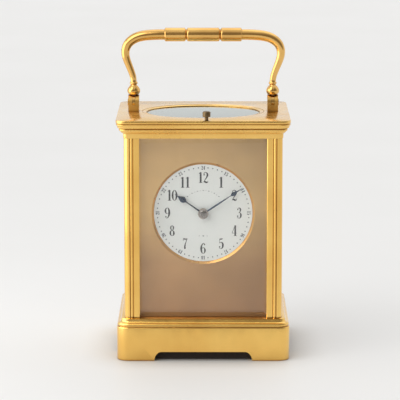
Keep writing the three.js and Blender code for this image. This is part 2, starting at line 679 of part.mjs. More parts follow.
// ---- repeat work --------------------------------------------------------------------------------
const repeatButton = () => turned([
  [0, BUTTON.stemBottom], [BUTTON.stemRadius, BUTTON.stemBottom],
  [BUTTON.stemRadius, BUTTON_HEAD_BOTTOM], [BUTTON.headRadius, BUTTON_HEAD_BOTTOM],
  [BUTTON.headRadius, BUTTON_HEAD_TOP - 0.4], [BUTTON.headRadius - 0.5, BUTTON_HEAD_TOP],
  [0, BUTTON_HEAD_TOP],
], 'z', 16);

// A cranked bar that rocks on a cross pin held in the cornice, its tail hanging to the movement;
// its origin is on the pin.
function repeatLever() {
  const { front, back, halfWidth, bottom, top, pivotY } = LEVER;
  const pivotZ = (bottom + top) / 2;
  const bar = block(
    -halfWidth, halfWidth, front - pivotY, back - pivotY, bottom - pivotZ, top - pivotZ,
  );
  const tail = block(
    -halfWidth, halfWidth, LEVER_TAIL.front - pivotY, back - pivotY,
    LEVER_TAIL.bottom - pivotZ, top - pivotZ,
  );
  const pinHalf = LEVER_SLOT.halfWidth - 0.1;
  return join(bar, tail, rod(0.8, -pinHalf, pinHalf, 'x', [0, 0, 0], 8));
}

// ---- dial and hands -----------------------------------------------------------------------------
function dialMask() {
  const { halfWidth, bottom, top, front, back } = MASK;
  const panel = block(-halfWidth, halfWidth, front, back, bottom, top);
  const steepness = DIAL_BEVEL / (back - front);
  const opening = turned([
    [0, front - PAST], [DIAL_SIGHT + DIAL_BEVEL + steepness * PAST, front - PAST],
    [DIAL_SIGHT, back], [DIAL_SIGHT, back + PAST], [0, back + PAST],
  ], 'y', 36, [0, 0, DIAL_Z]);
  const feet = [-1, 1].flatMap((side) => MASK_FOOT.heights.map((z) => rod(
    MASK_FOOT.radius, back - CONTACT, FRONT_PLATE.front - CONTACT, 'y', [side * MASK_FOOT.x, 0, z], 8,
  )));
  return join(cut(panel, opening), ...feet);
}

function dialPlate() {
  const disc = turned([
    [DIAL.hole, DIAL.front], [DIAL.radius, DIAL.front], [DIAL.radius, DIAL.back], [DIAL.hole, DIAL.back],
  ], 'y', 36);
  const feet = [90, 210, 330].map((degrees) => {
    const at = stepFrom({ x: 0, z: 0 }, DIAL_FOOT.distance, degrees);
    return rod(
      DIAL_FOOT.radius, DIAL.back - 0.2, FRONT_PLATE.front - CONTACT, 'y', [at.x, 0, at.z], 8,
    );
  });
  return join(disc, ...feet);
}

// A hand pointing to twelve, with a round eye at its centre, turned clockwise by `degrees`.
function hand(half, [front, back], eyeRadius, eyeHole, degrees) {
  const start = -eyeRadius * 0.5;
  const spine = [
    [start, half[0][1]], ...half,
  ];
  const points = [
    ...spine.map(([z, w]) => new THREE.Vector2(w, z)),
    ...[...spine].reverse().map(([z, w]) => new THREE.Vector2(-w, z)),
  ];
  const blade = plate(outline(points), front, back);
  const eye = rod(eyeRadius, front, back, 'y', [0, 0, 0], 16);
  const hole = rod(eyeHole, front - PAST, back + PAST, 'y', [0, 0, 0], 16);
  return cut(join(blade, eye), hole).rotate([0, degrees, 0]);
}

const handCap = () => turned([
  [0, HAND_CAP.front], [1.2, HAND_CAP.front + 0.08], [2.2, HAND_CAP.front + 0.35],
  [HAND_CAP.radius, HAND_CAP.back - 0.1], [HAND_CAP.radius, HAND_CAP.back], [0, HAND_CAP.back],
], 'y', 20);

// ---- motion work behind the dial ----------------------------------------------------------------
const CANNON_Y = [-24.4, -22.5];
const HOUR_WHEEL_Y = -26.2;
const MINUTE_WHEEL_Y = -23.9;
const CANNON_PIPE = { outer: 1.2, bore: 0.85, end: -31.5 };
const HOUR_PIPE = { outer: 1.9, bore: 1.45, end: -30.7 };

function cannonPinion() {
  const leaves = pinion(TRAIN.cannon.teeth, TRAIN.cannon.module, CANNON_Y[0], 0, CANNON_Y[1] - CANNON_Y[0]);
  const pipe = rod(CANNON_PIPE.outer, CANNON_PIPE.end, CANNON_Y[1], 'y', [0, 0, 0], 16);
  const bore = rod(CANNON_PIPE.bore, CANNON_PIPE.end - PAST, CANNON_Y[1] + PAST, 'y', [0, 0, 0], 16);
  return cut(join(leaves, pipe), bore);
}

function minuteWheel() {
  const phase = meshPhase(TRAIN.cannon.teeth, 0, TRAIN.minute.teeth, bearing(CENTRE, MINUTE_STUD));
  const body = wheel(TRAIN.minute, MINUTE_WHEEL_Y, { phase, crossed: false, thickness: 0.9 });
  const leaves = pinion(
    TRAIN.minutePinion.teeth, TRAIN.minutePinion.module, HOUR_WHEEL_Y - 0.2, 0,
    MINUTE_WHEEL_Y - HOUR_WHEEL_Y + 0.4,
  );
  return cut(join(body, leaves), rod(0.95, HOUR_WHEEL_Y - PAST, CANNON_Y[1], 'y', [0, 0, 0], 12));
}

function hourWheel() {
  const phase = meshPhase(
    TRAIN.minutePinion.teeth, 0, TRAIN.hour.teeth, bearing(MINUTE_STUD, CENTRE),
  );
  const body = wheel(TRAIN.hour, HOUR_WHEEL_Y, { phase, thickness: 0.8 });
  const pipe = rod(HOUR_PIPE.outer, HOUR_PIPE.end, HOUR_WHEEL_Y + 0.8, 'y', [0, 0, 0], 16);
  const bore = rod(HOUR_PIPE.bore, HOUR_PIPE.end - PAST, HOUR_WHEEL_Y + 0.8 + PAST, 'y', [0, 0, 0], 16);
  return cut(join(body, pipe), bore);
}

// ---- movement frame -----------------------------------------------------------------------------
function movementPlate(front, back, holes) {
  const { halfWidth, bottom, top } = PLATE;
  const corners = [[-1, bottom], [1, bottom], [1, top], [-1, top]];
  const rectangle = corners.map(([side, z]) => new THREE.Vector2(side * halfWidth, z));
  const bores = holes.map(([at, radius]) => circle(at.x, at.z, radius, 8));
  return plate(outline(rectangle, bores), front, back);
}

const FINE_ARBORS = [INTERMEDIATE, THIRD, CONTRATE, STRIKE_INTERMEDIATE, PIN_WHEEL, FLY];

function frontPlate() {
  const holes = [
    ...[...FINE_ARBORS, HAMMER].map((at) => [at, PIVOT_HOLE_RADIUS]),
    [CENTRE, 1.35], [GOING_BARREL, 1.4], [STRIKE_BARREL, 1.4],
  ];
  const stud = rod(
    0.7, HOUR_WHEEL_Y - 0.3, FRONT_PLATE.front + CONTACT, 'y', [MINUTE_STUD.x, 0, MINUTE_STUD.z],
  );
  return join(movementPlate(FRONT_PLATE.front, FRONT_PLATE.back, holes), stud);
}

function backPlate() {
  const holes = [
    ...FINE_ARBORS.map((at) => [at, PIVOT_HOLE_RADIUS]),
    [CENTRE, 1.35], [HAMMER, 1.35],
    [GOING_BARREL, WINDING.radius + 0.3], [STRIKE_BARREL, WINDING.radius + 0.3],
  ];
  return movementPlate(BACK_PLATE.front, BACK_PLATE.back, holes);
}

function movementPillar() {
  const front = FRONT_PLATE.back + CONTACT;
  const back = BACK_PLATE.front - CONTACT;
  const { radius } = MOVEMENT_PILLAR;
  return turned([
    [0, front], [radius, front], [radius, front + 2], [radius * 0.7, front + 4],
    [radius * 0.7, back - 4], [radius, back - 2], [radius, back], [0, back],
  ], 'y', 10);
}

// ---- going train --------------------------------------------------------------------------------
// A drum closed at both ends, with the great wheel's teeth round its front end.
function springBarrel() {
  const { radius, wall, front, back, bore } = BARREL;
  const great = wheel(TRAIN.barrel, LAYER.great, { crossed: false, thickness: 2 });
  const drum = rod(radius, LAYER.great + 1, back, 'y', [0, 0, 0], 18);
  const inside = rod(radius - wall, front + 0.6, back - wall, 'y', [0, 0, 0], 12);
  const hole = rod(bore, LAYER.great - PAST, back + PAST, 'y', [0, 0, 0], 12);
  return cut(join(great, drum), inside, hole);
}

// A strip coiled in the XY plane between two radii.
function springStrip({ turns, steps, inner, outer, halfThickness, halfHeight }) {
  const path = Array.from({ length: steps + 1 }, (_, i) => {
    const angle = (i / steps) * turns * TURN;
    const radius = inner + (i / steps) * (outer - inner);
    return [radius * Math.cos(angle), radius * Math.sin(angle)];
  });
  const section = [[-1, -1], [1, -1], [1, 1], [-1, 1]]
    .map(([x, y]) => new THREE.Vector2(x * halfThickness, y * halfHeight));
  return carried(path, section);
}

function mainspring() {
  const geometry = springStrip(MAINSPRING);
  geometry.rotateX(Math.PI / 2);
  geometry.translate(0, (BARREL.front + BARREL.back) / 2 - 0.2, 0);
  return toSolid(geometry);
}

// The barrel's arbor, its ratchet wheel behind the back plate, and the winding square.
function windingArbor() {
  const shaft = turned([
    [0, FRONT_PLATE.front + 0.2], [1.1, FRONT_PLATE.front + 0.2], [1.1, FRONT_PLATE.back + 0.3],
    [WINDING.radius, FRONT_PLATE.back + 0.3], [WINDING.radius, BACK_PLATE.back + 0.6],
    [0, BACK_PLATE.back + 0.6],
  ], 'y', 16);
  const teeth = Array.from({ length: WINDING.ratchetTeeth }, (_, i) => {
    const angle = (i / WINDING.ratchetTeeth) * TURN;
    const inner = WINDING.ratchetRadius - 0.8;
    return [
      new THREE.Vector2(inner * Math.cos(angle), inner * Math.sin(angle)),
      new THREE.Vector2(
        WINDING.ratchetRadius * Math.cos(angle + 0.02), WINDING.ratchetRadius * Math.sin(angle + 0.02),
      ),
    ];
  }).flat();
  const ratchet = plate(outline(teeth), BACK_PLATE.back + 0.3, BACK_PLATE.back + 1.6);
  const half = WINDING.square / 2;
  const square = block(-half, half, BACK_PLATE.back + 0.5, WINDING.end, -half, half);
  return join(shaft, ratchet, square);
}

function wheelOnArbor(gear, front, leaves, module, pinionFront, pinionPhase) {
  return join(
    arbor(), wheel(gear, front), pinion(leaves, module, pinionFront, pinionPhase),
    rod(HUB_RADIUS, front - 0.5, front + WHEEL_THICKNESS + 0.5, 'y', [0, 0, 0], 6),
  );
}

function intermediateWheel() {
  const phase = meshPhase(
    TRAIN.barrel.teeth, 0, PINION_LEAVES, bearing(GOING_BARREL, INTERMEDIATE),
  );
  return wheelOnArbor(
    TRAIN.intermediate, LAYER.intermediate, PINION_LEAVES, TRAIN.barrel.module, LAYER.great, phase,
  );
}

// The centre arbor runs through both plates: to the hands in front, to the setting square behind.
function centreWheel() {
  const phase = meshPhase(
    TRAIN.intermediate.teeth, 0, PINION_LEAVES, bearing(INTERMEDIATE, CENTRE),
  );
  const half = 0.8;
  return join(
    rod(0.7, CANNON_PIPE.end + 0.4, FRONT_PLATE.front, 'y', [0, 0, 0], 16),
    rod(1, FRONT_PLATE.front - 0.3, BACK_PLATE.back + 0.5, 'y', [0, 0, 0], 10),
    block(-half, half, BACK_PLATE.back, BACK_PLATE.back + 3, -half, half),
    wheel(TRAIN.centre, LAYER.centre),
    rod(HUB_RADIUS, LAYER.centre - 0.5, LAYER.centre + 1.5, 'y', [0, 0, 0], 6),
    pinion(PINION_LEAVES, TRAIN.intermediate.module, LAYER.intermediate - 0.4, phase),
  );
}

function thirdWheel() {
  const phase = meshPhase(TRAIN.centre.teeth, 0, PINION_LEAVES, bearing(CENTRE, THIRD));
  return wheelOnArbor(
    TRAIN.third, LAYER.third, PINION_LEAVES, TRAIN.centre.module, LAYER.centre - 0.5, phase,
  );
}

// A crown wheel: its teeth stand out backwards, to turn the upright escape pinion above it.
const CROWN = { inner: 6.7, outer: 7.7, rootY: 3.4, tipY: 4.5, web: 0.9 };
function contrateWheel() {
  const { teeth } = TRAIN.contrate;
  const { inner, outer, rootY, tipY } = CROWN;
  const zigzag = (radius) => Array.from({ length: 2 * teeth }, (_, i) => {
    const angle = (i / (2 * teeth)) * TURN;
    const y = i % 2 === 0 ? tipY : rootY;
    return new THREE.Vector3(radius * Math.cos(angle), radius * Math.sin(angle), -y);
  });
  const flat = (radius, y) => zigzag(radius).map((p) => new THREE.Vector3(p.x, p.y, -y));
  const rings = [
    flat(inner, LAYER.contrate + CROWN.web), zigzag(inner), zigzag(outer), flat(outer, LAYER.contrate),
  ];
  const geometry = lofted(rings, circle(0, 0, outer, 2 * teeth));
  geometry.rotateX(Math.PI / 2);
  const phase = meshPhase(TRAIN.third.teeth, 0, PINION_LEAVES, bearing(THIRD, CONTRATE));
  return join(
    arbor(), toSolid(geometry), rod(1.7, LAYER.contrate - 0.6, LAYER.contrate + 1.5, 'y', [0, 0, 0], 8),
    pinion(PINION_LEAVES, TRAIN.third.module, LAYER.third - 0.5, phase),
  );
}

// ---- platform escapement ------------------------------------------------------------------------
const ESCAPE_MODULE = (2 * ((CROWN.inner + CROWN.outer) / 2)) / TRAIN.contrate.teeth;
const ESCAPE_Y = CROWN.tipY - 0.15 + (ESCAPE_PINION_LEAVES * ESCAPE_MODULE) / 2;
const PALLET_Y = ESCAPE_Y - PALLET_DISTANCE;

function platform() {
  const { halfWidth, bottom, top } = PLATFORM;
  const shape = outline([
    [-halfWidth, FRONT_PLATE.front], [halfWidth, FRONT_PLATE.front],
    [halfWidth, BACK_PLATE.back], [-halfWidth, BACK_PLATE.back],
  ].map(([x, y]) => new THREE.Vector2(x, y)), [
    circle(CONTRATE.x, ESCAPE_Y, 1.4, 12),
    circle(CONTRATE.x, PALLET_Y, 0.6, 8),
    circle(CONTRATE.x, BALANCE.y, 0.6, 8),
  ]);
  return slab(shape, bottom, top);
}

function escapeWheel() {
  const { radius, teeth, phase, bottom, top } = ESCAPE;
  const ratchet = Array.from({ length: teeth }, (_, i) => {
    const angle = phase + (i / teeth) * TURN;
    return [
      ...circle(0, 0, radius - 1, 1, angle), ...circle(0, 0, radius, 1, angle + 0.24),
      ...circle(0, 0, radius - 0.1, 1, angle + 0.32),
    ];
  }).flat();
  const leaves = outline(toothOutline(
    { teeth: ESCAPE_PINION_LEAVES, module: ESCAPE_MODULE },
    -Math.PI / 2 + Math.PI / ESCAPE_PINION_LEAVES,
  ));
  const pinionTop = CONTRATE.z + CROWN.outer + 0.6;
  return join(
    slab(outline(ratchet), bottom, top),
    rod(0.45, CONTRATE.z + CROWN.inner - 0.8, top + 1.4, 'z', [0, 0, 0], 8),
    slab(leaves, CONTRATE.z + CROWN.inner - 0.5, pinionTop),
  );
}

// The anchor with its two pallet arms towards the escape wheel and its fork towards the balance.
function palletLever() {
  const half = [
    [0, 0.9], [0.9, 0.9], [2.7, 3], [3.4, 2.6], [1.6, -0.4], [0.45, -1.2], [0.35, -4.4],
    [0.9, -5], [0.9, -5.8], [0.35, -5.8], [0.3, -5.2], [0, -5.1],
  ];
  const points = [
    ...half.slice(1, -1).map(([x, y]) => new THREE.Vector2(x, y)),
    ...half.slice(1, -1).reverse().map(([x, y]) => new THREE.Vector2(-x, y)),
  ];
  return join(
    slab(outline(points), ESCAPE.bottom, ESCAPE.top),
    rod(0.35, PLATFORM.bottom + 0.4, ESCAPE.top + 1.2, 'z', [0, 0, 0], 8),
  );
}

function balanceWheel() {
  const { radius, rim, bottom, top } = BALANCE;
  return join(
    slab(outline(circle(0, 0, radius, 24), [circle(0, 0, radius - rim, 24)]), bottom, top),
    block(-0.5, 0.5, -radius + rim / 2, radius - rim / 2, bottom + 0.2, top - 0.2),
    rod(2.4, ESCAPE.top + 0.4, ESCAPE.top + 0.8, 'z', [0, 0, 0], 12),
    rod(0.4, PLATFORM.bottom + 0.4, top + 2.4, 'z', [0, 0, 0], 8),
  );
}

const COCK = { foot: [9.4, 13.4], halfDepth: 3, armBottom: 119.2, top: 120.4 };
function balanceCock() {
  const [from, to] = COCK.foot;
  return cut(
    join(
      block(from, to, -COCK.halfDepth, COCK.halfDepth, PLATFORM.top + CONTACT, COCK.top),
      block(0, to, -1.5, 1.5, COCK.armBottom, COCK.top),
      rod(2.6, COCK.armBottom, COCK.top, 'z', [0, 0, 0], 16),
    ),
    rod(0.6, COCK.armBottom - PAST, COCK.top + PAST, 'z', [0, 0, 0], 8),
  );
}

function hairspring() {
  const geometry = springStrip(HAIRSPRING);
  geometry.translate(0, 0, BALANCE.top + 0.9);
  return toSolid(geometry);
}

// ---- strike work --------------------------------------------------------------------------------
function strikeIntermediateWheel() {
  const phase = meshPhase(
    TRAIN.barrel.teeth, 0, PINION_LEAVES, bearing(STRIKE_BARREL, STRIKE_INTERMEDIATE),
  );
  return wheelOnArbor(
    TRAIN.strikeIntermediate, LAYER.intermediate, PINION_LEAVES, TRAIN.barrel.module, LAYER.great, phase,
  );
}

const LIFTING_PINS = { count: 8, distance: 6.4, radius: 0.4 };
// The wheel whose pins lift the hammer.
function pinWheel() {
  const phase = meshPhase(
    TRAIN.strikeIntermediate.teeth, 0, PINION_LEAVES, bearing(STRIKE_INTERMEDIATE, PIN_WHEEL),
  );
  const { count, distance, radius } = LIFTING_PINS;
  const pins = circle(0, 0, distance, count).map((p) =>
    rod(radius, LAYER.centre + 0.5, LAYER.centre + 2.8, 'y', [p.x, 0, p.y], 6));
  return join(
    wheelOnArbor(
      TRAIN.pinWheel, LAYER.centre, PINION_LEAVES, TRAIN.strikeIntermediate.module,
      LAYER.intermediate - 0.4, phase,
    ),
    ...pins,
  );
}

function fly() {
  const phase = meshPhase(TRAIN.pinWheel.teeth, 0, FLY_LEAVES, bearing(PIN_WHEEL, FLY));
  return join(
    arbor(0.7), pinion(FLY_LEAVES, TRAIN.pinWheel.module, LAYER.centre - 0.5, phase),
    block(-5, 5, LAYER.fly, LAYER.fly + 10, -0.25, 0.25),
  );
}

// The hammer's arbor crosses the movement; its arm and head hang behind the back plate.
const HAMMER_HEAD = { x: -3.9, z: -25, radius: 2, front: 19.2, back: 25 };
function hammer() {
  const { x, z, radius, front, back } = HAMMER_HEAD;
  const arbors = join(
    rod(ARBOR_PIVOT, FRONT_PLATE.front + 0.2, FRONT_PLATE.back + 0.4, 'y', [0, 0, 0], 8),
    rod(1, FRONT_PLATE.back + 0.3, front + 1.2, 'y', [0, 0, 0], 10),
  );
  const arm = outline([[-0.9, 1.6], [0.9, 1.6], [x + 0.8, z], [x - 0.8, z]]
    .map(([px, pz]) => new THREE.Vector2(px, pz)));
  const tail = block(-0.7, 0.7, LAYER.centre + 1.5, LAYER.centre + 3, -5.2, 0);
  return join(
    arbors, plate(arm, front, front + 1.2), tail.rotate([0, -26, 0]),
    rod(radius, front, back, 'y', [x, 0, z], 14),
  );
}

function gong() {
  const steps = 36;
  const path = Array.from({ length: steps + 1 }, (_, i) => {
    const angle = -TURN / 4 - GONG.turns * TURN * (1 - i / steps);
    const radius = GONG.inner + (i / steps) * (GONG.outer - GONG.inner);
    return [radius * Math.cos(angle), radius * Math.sin(angle), GONG.wire];
  });
  const geometry = carried(path, circle(0, 0, 1, 5));
  geometry.rotateX(Math.PI / 2);
  geometry.translate(0, GONG.y, GONG.z);
  return toSolid(geometry);
}

const gongBlock = () => block(
  0.35, 8, BACK_PLATE.back + CONTACT, GONG.y + 3, GONG.z - GONG.outer - 4,
  GONG.z - GONG.outer + 1,
);

// ---- assembly -----------------------------------------------------------------------------------
const clock = new THREE.Group();

function add(parent, name, solid, material, position = [0, 0, 0]) {
  const mesh = new THREE.Mesh(toGeometry(solid), MATERIALS[material]);
  mesh.name = name;
  mesh.position.set(...position);
  parent.add(mesh);
}

function addOnArbor(name, solid, material, at) {
  add(clock, name, solid, material, [at.x, 0, at.z]);
}

const SIDES = [['left', -1], ['right', 1]];
const ENDS = [['front', -1], ['rear', 1]];

add(clock, 'base_moulding', baseMoulding(), 'gilt');
add(clock, 'base_plate', basePlate(), 'brass');
for (const [end, sideY] of ENDS) {
  for (const [side, sideX] of SIDES) {
    add(clock, `pillar_${end}_${side}`, pillar(sideX, sideY), 'gilt');
  }
}
add(clock, 'cornice', cornice(), 'gilt');
add(clock, 'top_glass', ovalGlass(), 'glass');

const glassBottom = DECK_TOP + GLASS_PLAY;
const glassTop = CORNICE_BOTTOM - GLASS_PLAY;
const frontGlassHalf = PILLAR_OUTER_X - PILLAR_SIDE + GLASS_GROOVE - GROOVE_PLAY;
const sideGlassHalf = PILLAR_OUTER_Y - PILLAR_SIDE + GLASS_GROOVE - GROOVE_PLAY;
add(
  clock, 'front_glass', bevelledGlass(frontGlassHalf, glassBottom, glassTop), 'glass',
  [0, -PILLAR_OUTER_Y + GLASS_RECESS + GLASS_THICKNESS, 0],
);
for (const [side, sideX] of SIDES) {
  const turnedGlass = bevelledGlass(sideGlassHalf, glassBottom, glassTop).rotate([0, 0, sideX * 90]);
  add(clock, `${side}_glass`, turnedGlass, 'glass', [
    sideX * (PILLAR_OUTER_X - GLASS_RECESS - GLASS_THICKNESS), 0, 0,
  ]);
}

add(clock, 'door_frame', doorFrame(), 'gilt');
add(clock, 'door_glass', doorGlass(), 'glass');
add(clock, 'door_knob', doorKnob(), 'gilt', [KNOB.x, DOOR.back + CONTACT, KNOB.z]);

const handle = new THREE.Group();
handle.position.z = PIVOT_Z;
clock.add(handle);
for (const [side, sideX] of SIDES) {
  add(handle, `handle_post_${side}`, handlePost(), 'gilt', [sideX * POST_X, 0, 0]);
  add(handle, `handle_pivot_${side}`, handlePivot(sideX), 'steel', [sideX * POST_X, 0, 0]);
  add(handle, `handle_knuckle_${side}`, handleKnuckle(), 'gilt', [sideX * POST_X, 0, 0]);
}
add(handle, 'handle_bail', handleBail(), 'gilt');
add(handle, 'handle_grip', handleGrip(), 'gilt', [0, 0, BAIL[0][1] - PIVOT_Z]);

add(clock, 'repeat_button', repeatButton(), 'brass', [BUTTON.x, BUTTON.y, 0]);
add(clock, 'repeat_lever', repeatLever(), 'steel', [
  BUTTON.x, LEVER.pivotY, (LEVER.bottom + LEVER.top) / 2,
]);

add(clock, 'dial_mask', dialMask(), 'satinGilt');
addOnArbor('dial_plate', dialPlate(), 'enamel', CENTRE);
addOnArbor(
  'hour_hand', hand(HOUR_HAND, HOUR_HAND_Y, 3, HOUR_PIPE.outer + 0.08, HOUR_HAND_ANGLE),
  'blued', CENTRE,
);
addOnArbor(
  'minute_hand', hand(MINUTE_HAND, MINUTE_HAND_Y, 2.4, CANNON_PIPE.outer + 0.08, MINUTE_HAND_ANGLE),
  'blued', CENTRE,
);
addOnArbor('hand_cap', handCap(), 'steel', CENTRE);
addOnArbor('cannon_pinion', cannonPinion(), 'steel', CENTRE);
addOnArbor('hour_wheel', hourWheel(), 'brass', CENTRE);
addOnArbor('minute_wheel', minuteWheel(), 'brass', MINUTE_STUD);

add(clock, 'front_plate', frontPlate(), 'brass');
add(clock, 'back_plate', backPlate(), 'brass');
for (const [height, z] of [['lower', MOVEMENT_PILLAR.low], ['upper', MOVEMENT_PILLAR.high]]) {
  for (const [side, sideX] of SIDES) {
    add(clock, `movement_pillar_${height}_${side}`, movementPillar(), 'brass', [
      sideX * MOVEMENT_PILLAR.x, 0, z,
    ]);
  }
}

addOnArbor('going_barrel', springBarrel(), 'brass', GOING_BARREL);
addOnArbor('going_mainspring', mainspring(), 'blued', GOING_BARREL);
addOnArbor('going_arbor', windingArbor(), 'steel', GOING_BARREL);
addOnArbor('intermediate_wheel', intermediateWheel(), 'brass', INTERMEDIATE);
addOnArbor('centre_wheel', centreWheel(), 'brass', CENTRE);
addOnArbor('third_wheel', thirdWheel(), 'brass', THIRD);
addOnArbor('contrate_wheel', contrateWheel(), 'brass', CONTRATE);

add(clock, 'platform', platform(), 'brass');
add(clock, 'escape_wheel', escapeWheel(), 'steel', [CONTRATE.x, ESCAPE_Y, 0]);
add(clock, 'pallet_lever', palletLever(), 'steel', [CONTRATE.x, PALLET_Y, 0]);
add(clock, 'balance_wheel', balanceWheel(), 'brass', [CONTRATE.x, BALANCE.y, 0]);
add(clock, 'balance_cock', balanceCock(), 'brass', [CONTRATE.x, BALANCE.y, 0]);
add(clock, 'hairspring', hairspring(), 'blued', [CONTRATE.x, BALANCE.y, 0]);

addOnArbor('strike_barrel', springBarrel(), 'brass', STRIKE_BARREL);
addOnArbor('strike_mainspring', mainspring(), 'blued', STRIKE_BARREL);
addOnArbor('strike_arbor', windingArbor(), 'steel', STRIKE_BARREL);
addOnArbor('strike_intermediate_wheel', strikeIntermediateWheel(), 'brass', STRIKE_INTERMEDIATE);
addOnArbor('pin_wheel', pinWheel(), 'brass', PIN_WHEEL);
addOnArbor('fly', fly(), 'brass', FLY);
addOnArbor('hammer', hammer(), 'steel', HAMMER);
add(clock, 'gong', gong(), 'blued');
add(clock, 'gong_block', gongBlock(), 'brass');

export default clock;
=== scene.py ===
"""Carriage clock: the fine case, handle, dial and hands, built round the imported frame.

Lengths in the helpers are millimetres in the frame's own axes (dial towards -Y, +Z up), and `piece`
turns them into metres. Every place comes from the frame's boxes or from the named sizes below.
"""
import json
import math

import bmesh
import bpy
from mathutils import Matrix, Vector


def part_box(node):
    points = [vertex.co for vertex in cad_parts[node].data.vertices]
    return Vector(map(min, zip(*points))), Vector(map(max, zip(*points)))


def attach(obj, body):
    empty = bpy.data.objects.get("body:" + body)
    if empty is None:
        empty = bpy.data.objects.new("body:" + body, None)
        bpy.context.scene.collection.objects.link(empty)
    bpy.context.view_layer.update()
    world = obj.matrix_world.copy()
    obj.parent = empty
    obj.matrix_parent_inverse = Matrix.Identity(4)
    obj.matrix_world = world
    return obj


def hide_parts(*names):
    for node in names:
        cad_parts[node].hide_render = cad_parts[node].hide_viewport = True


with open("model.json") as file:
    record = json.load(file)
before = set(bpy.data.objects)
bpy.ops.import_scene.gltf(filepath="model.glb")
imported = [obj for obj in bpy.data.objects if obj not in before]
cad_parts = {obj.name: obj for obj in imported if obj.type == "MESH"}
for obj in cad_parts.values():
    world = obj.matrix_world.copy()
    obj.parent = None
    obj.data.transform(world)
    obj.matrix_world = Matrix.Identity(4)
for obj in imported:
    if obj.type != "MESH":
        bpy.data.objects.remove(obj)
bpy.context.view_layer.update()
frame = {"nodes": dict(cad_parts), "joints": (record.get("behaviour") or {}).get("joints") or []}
MM = 0.001
TURN = 2 * math.pi
QUARTER_TURN = Matrix.Rotation(TURN / 4, 4, "Z")
ALONG_X = Matrix.Rotation(TURN / 4, 4, "Y")  # carries +Z to +X
ALONG_Y = Matrix.Rotation(-TURN / 4, 4, "X")  # carries +Z to +Y
SIDES = (("left", -1), ("right", 1))
SCENE = bpy.context.scene


def box_mm(node):
    low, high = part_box(node)
    return low / MM, high / MM


def centre_mm(node):
    low, high = box_mm(node)
    return (low + high) / 2


# ---- sizes read from the frame ------------
BASE = box_mm("base_moulding")[1]
CORNICE_LOW, CORNICE = box_mm("cornice")
PILLAR_LOW, PILLAR = box_mm("pillar_rear_right")
MASK_LOW, MASK = box_mm("dial_mask")
DIAL_LOW = box_mm("dial_plate")[0]
DIAL = centre_mm("dial_plate")
OVAL_LOW, OVAL = box_mm("top_glass")
GRIP_LOW, GRIP = box_mm("handle_grip")
POST_LOW, POST = box_mm("handle_post_right")
BUTTON_LOW, BUTTON = box_mm("repeat_button")
BUTTON_AT = centre_mm("repeat_button")
KNOB_AT = centre_mm("door_knob")
KNOB_LOW = box_mm("door_knob")[0]
JOINTS = {joint["name"]: joint for joint in frame["joints"]}
PIVOT_Z = JOINTS["handle_swing"]["pos_m"][2] / MM


# ---- camera, light and floor ------------
CAMERA_HEIGHT = 299.2
CAMERA_DISTANCE = 1176  # to the plane of the base's front
CAMERA_PITCH = 10.086  # degrees below the horizon
CAMERA_LENS = 197.93
CAMERA_SHIFT = (-0.008, 0.0)


def make_camera():
    data = bpy.data.cameras.new("camera")
    data.lens = CAMERA_LENS
    data.sensor_width = 36
    data.shift_x, data.shift_y = CAMERA_SHIFT
    data.clip_start, data.clip_end = 0.05, 50
    camera = bpy.data.objects.new("camera", data)
    camera.location = Vector((0, -(CAMERA_DISTANCE + BASE.y), CAMERA_HEIGHT)) * MM
    camera.rotation_euler = (math.radians(90 - CAMERA_PITCH), 0, 0)
    SCENE.collection.objects.link(camera)
    SCENE.camera = camera


def soft_sun(name, towards, spread, strength, color=(1, 1, 1)):
    """A lamp far off in one direction, as wide as `spread` degrees, with soft shadows."""
    data = bpy.data.lights.new(name, "SUN")
    data.angle = math.radians(spread)
    data.energy = strength
    data.color = color
    light = bpy.data.objects.new(name, data)
    light.rotation_euler = Vector(towards).to_track_quat("Z", "Y").to_euler()
    SCENE.collection.objects.link(light)


def soft_box(name, at, size, power, color):
    """A lamp of `size` (depth along Y, height) in millimetres, facing +X.

    The camera doesn't see it, either directly or through glass.
    """
    data = bpy.data.lights.new(name, "AREA")
    data.shape = "RECTANGLE"
    data.size, data.size_y = size[1] * MM, size[0] * MM
    data.energy = power
    data.color = color
    light = bpy.data.objects.new(name, data)
    light.location = Vector(at) * MM
    light.rotation_euler = (0, -TURN / 4, 0)
    light.visible_camera = False
    light.visible_transmission = False
    SCENE.collection.objects.link(light)


DARK_SIDE = (0.5, -0.86, 0.1)  # where the studio is dim, seen from the clock
STUDIO_BRIGHT = (0.95, 0.952, 0.955)
STUDIO_DARK = (0.26, 0.235, 0.205)
STUDIO_STRENGTH = 0.88


def make_studio():
    """A pale room lit all round, but dim towards its front right corner."""
    world = bpy.data.worlds.new("studio")
    SCENE.world = world
    world.use_nodes = True
    nodes, links = world.node_tree.nodes, world.node_tree.links
    background = nodes["Background"]
    place = nodes.new("ShaderNodeTexCoord")
    facing = nodes.new("ShaderNodeVectorMath")
    facing.operation = "DOT_PRODUCT"
    facing.inputs[1].default_value = DARK_SIDE
    links.new(place.outputs["Generated"], facing.inputs[0])
    fade = nodes.new("ShaderNodeMapRange")
    fade.interpolation_type = "SMOOTHSTEP"
    fade.inputs["From Min"].default_value = 0.35
    fade.inputs["From Max"].default_value = 0.9
    links.new(facing.outputs["Value"], fade.inputs["Value"])
    mix = nodes.new("ShaderNodeMix")
    mix.data_type = "RGBA"
    mix.inputs["A"].default_value = (*STUDIO_BRIGHT, 1)
    mix.inputs["B"].default_value = (*STUDIO_DARK, 1)
    links.new(fade.outputs["Result"], mix.inputs["Factor"])
    links.new(mix.outputs["Result"], background.inputs["Color"])
    background.inputs["Strength"].default_value = STUDIO_STRENGTH


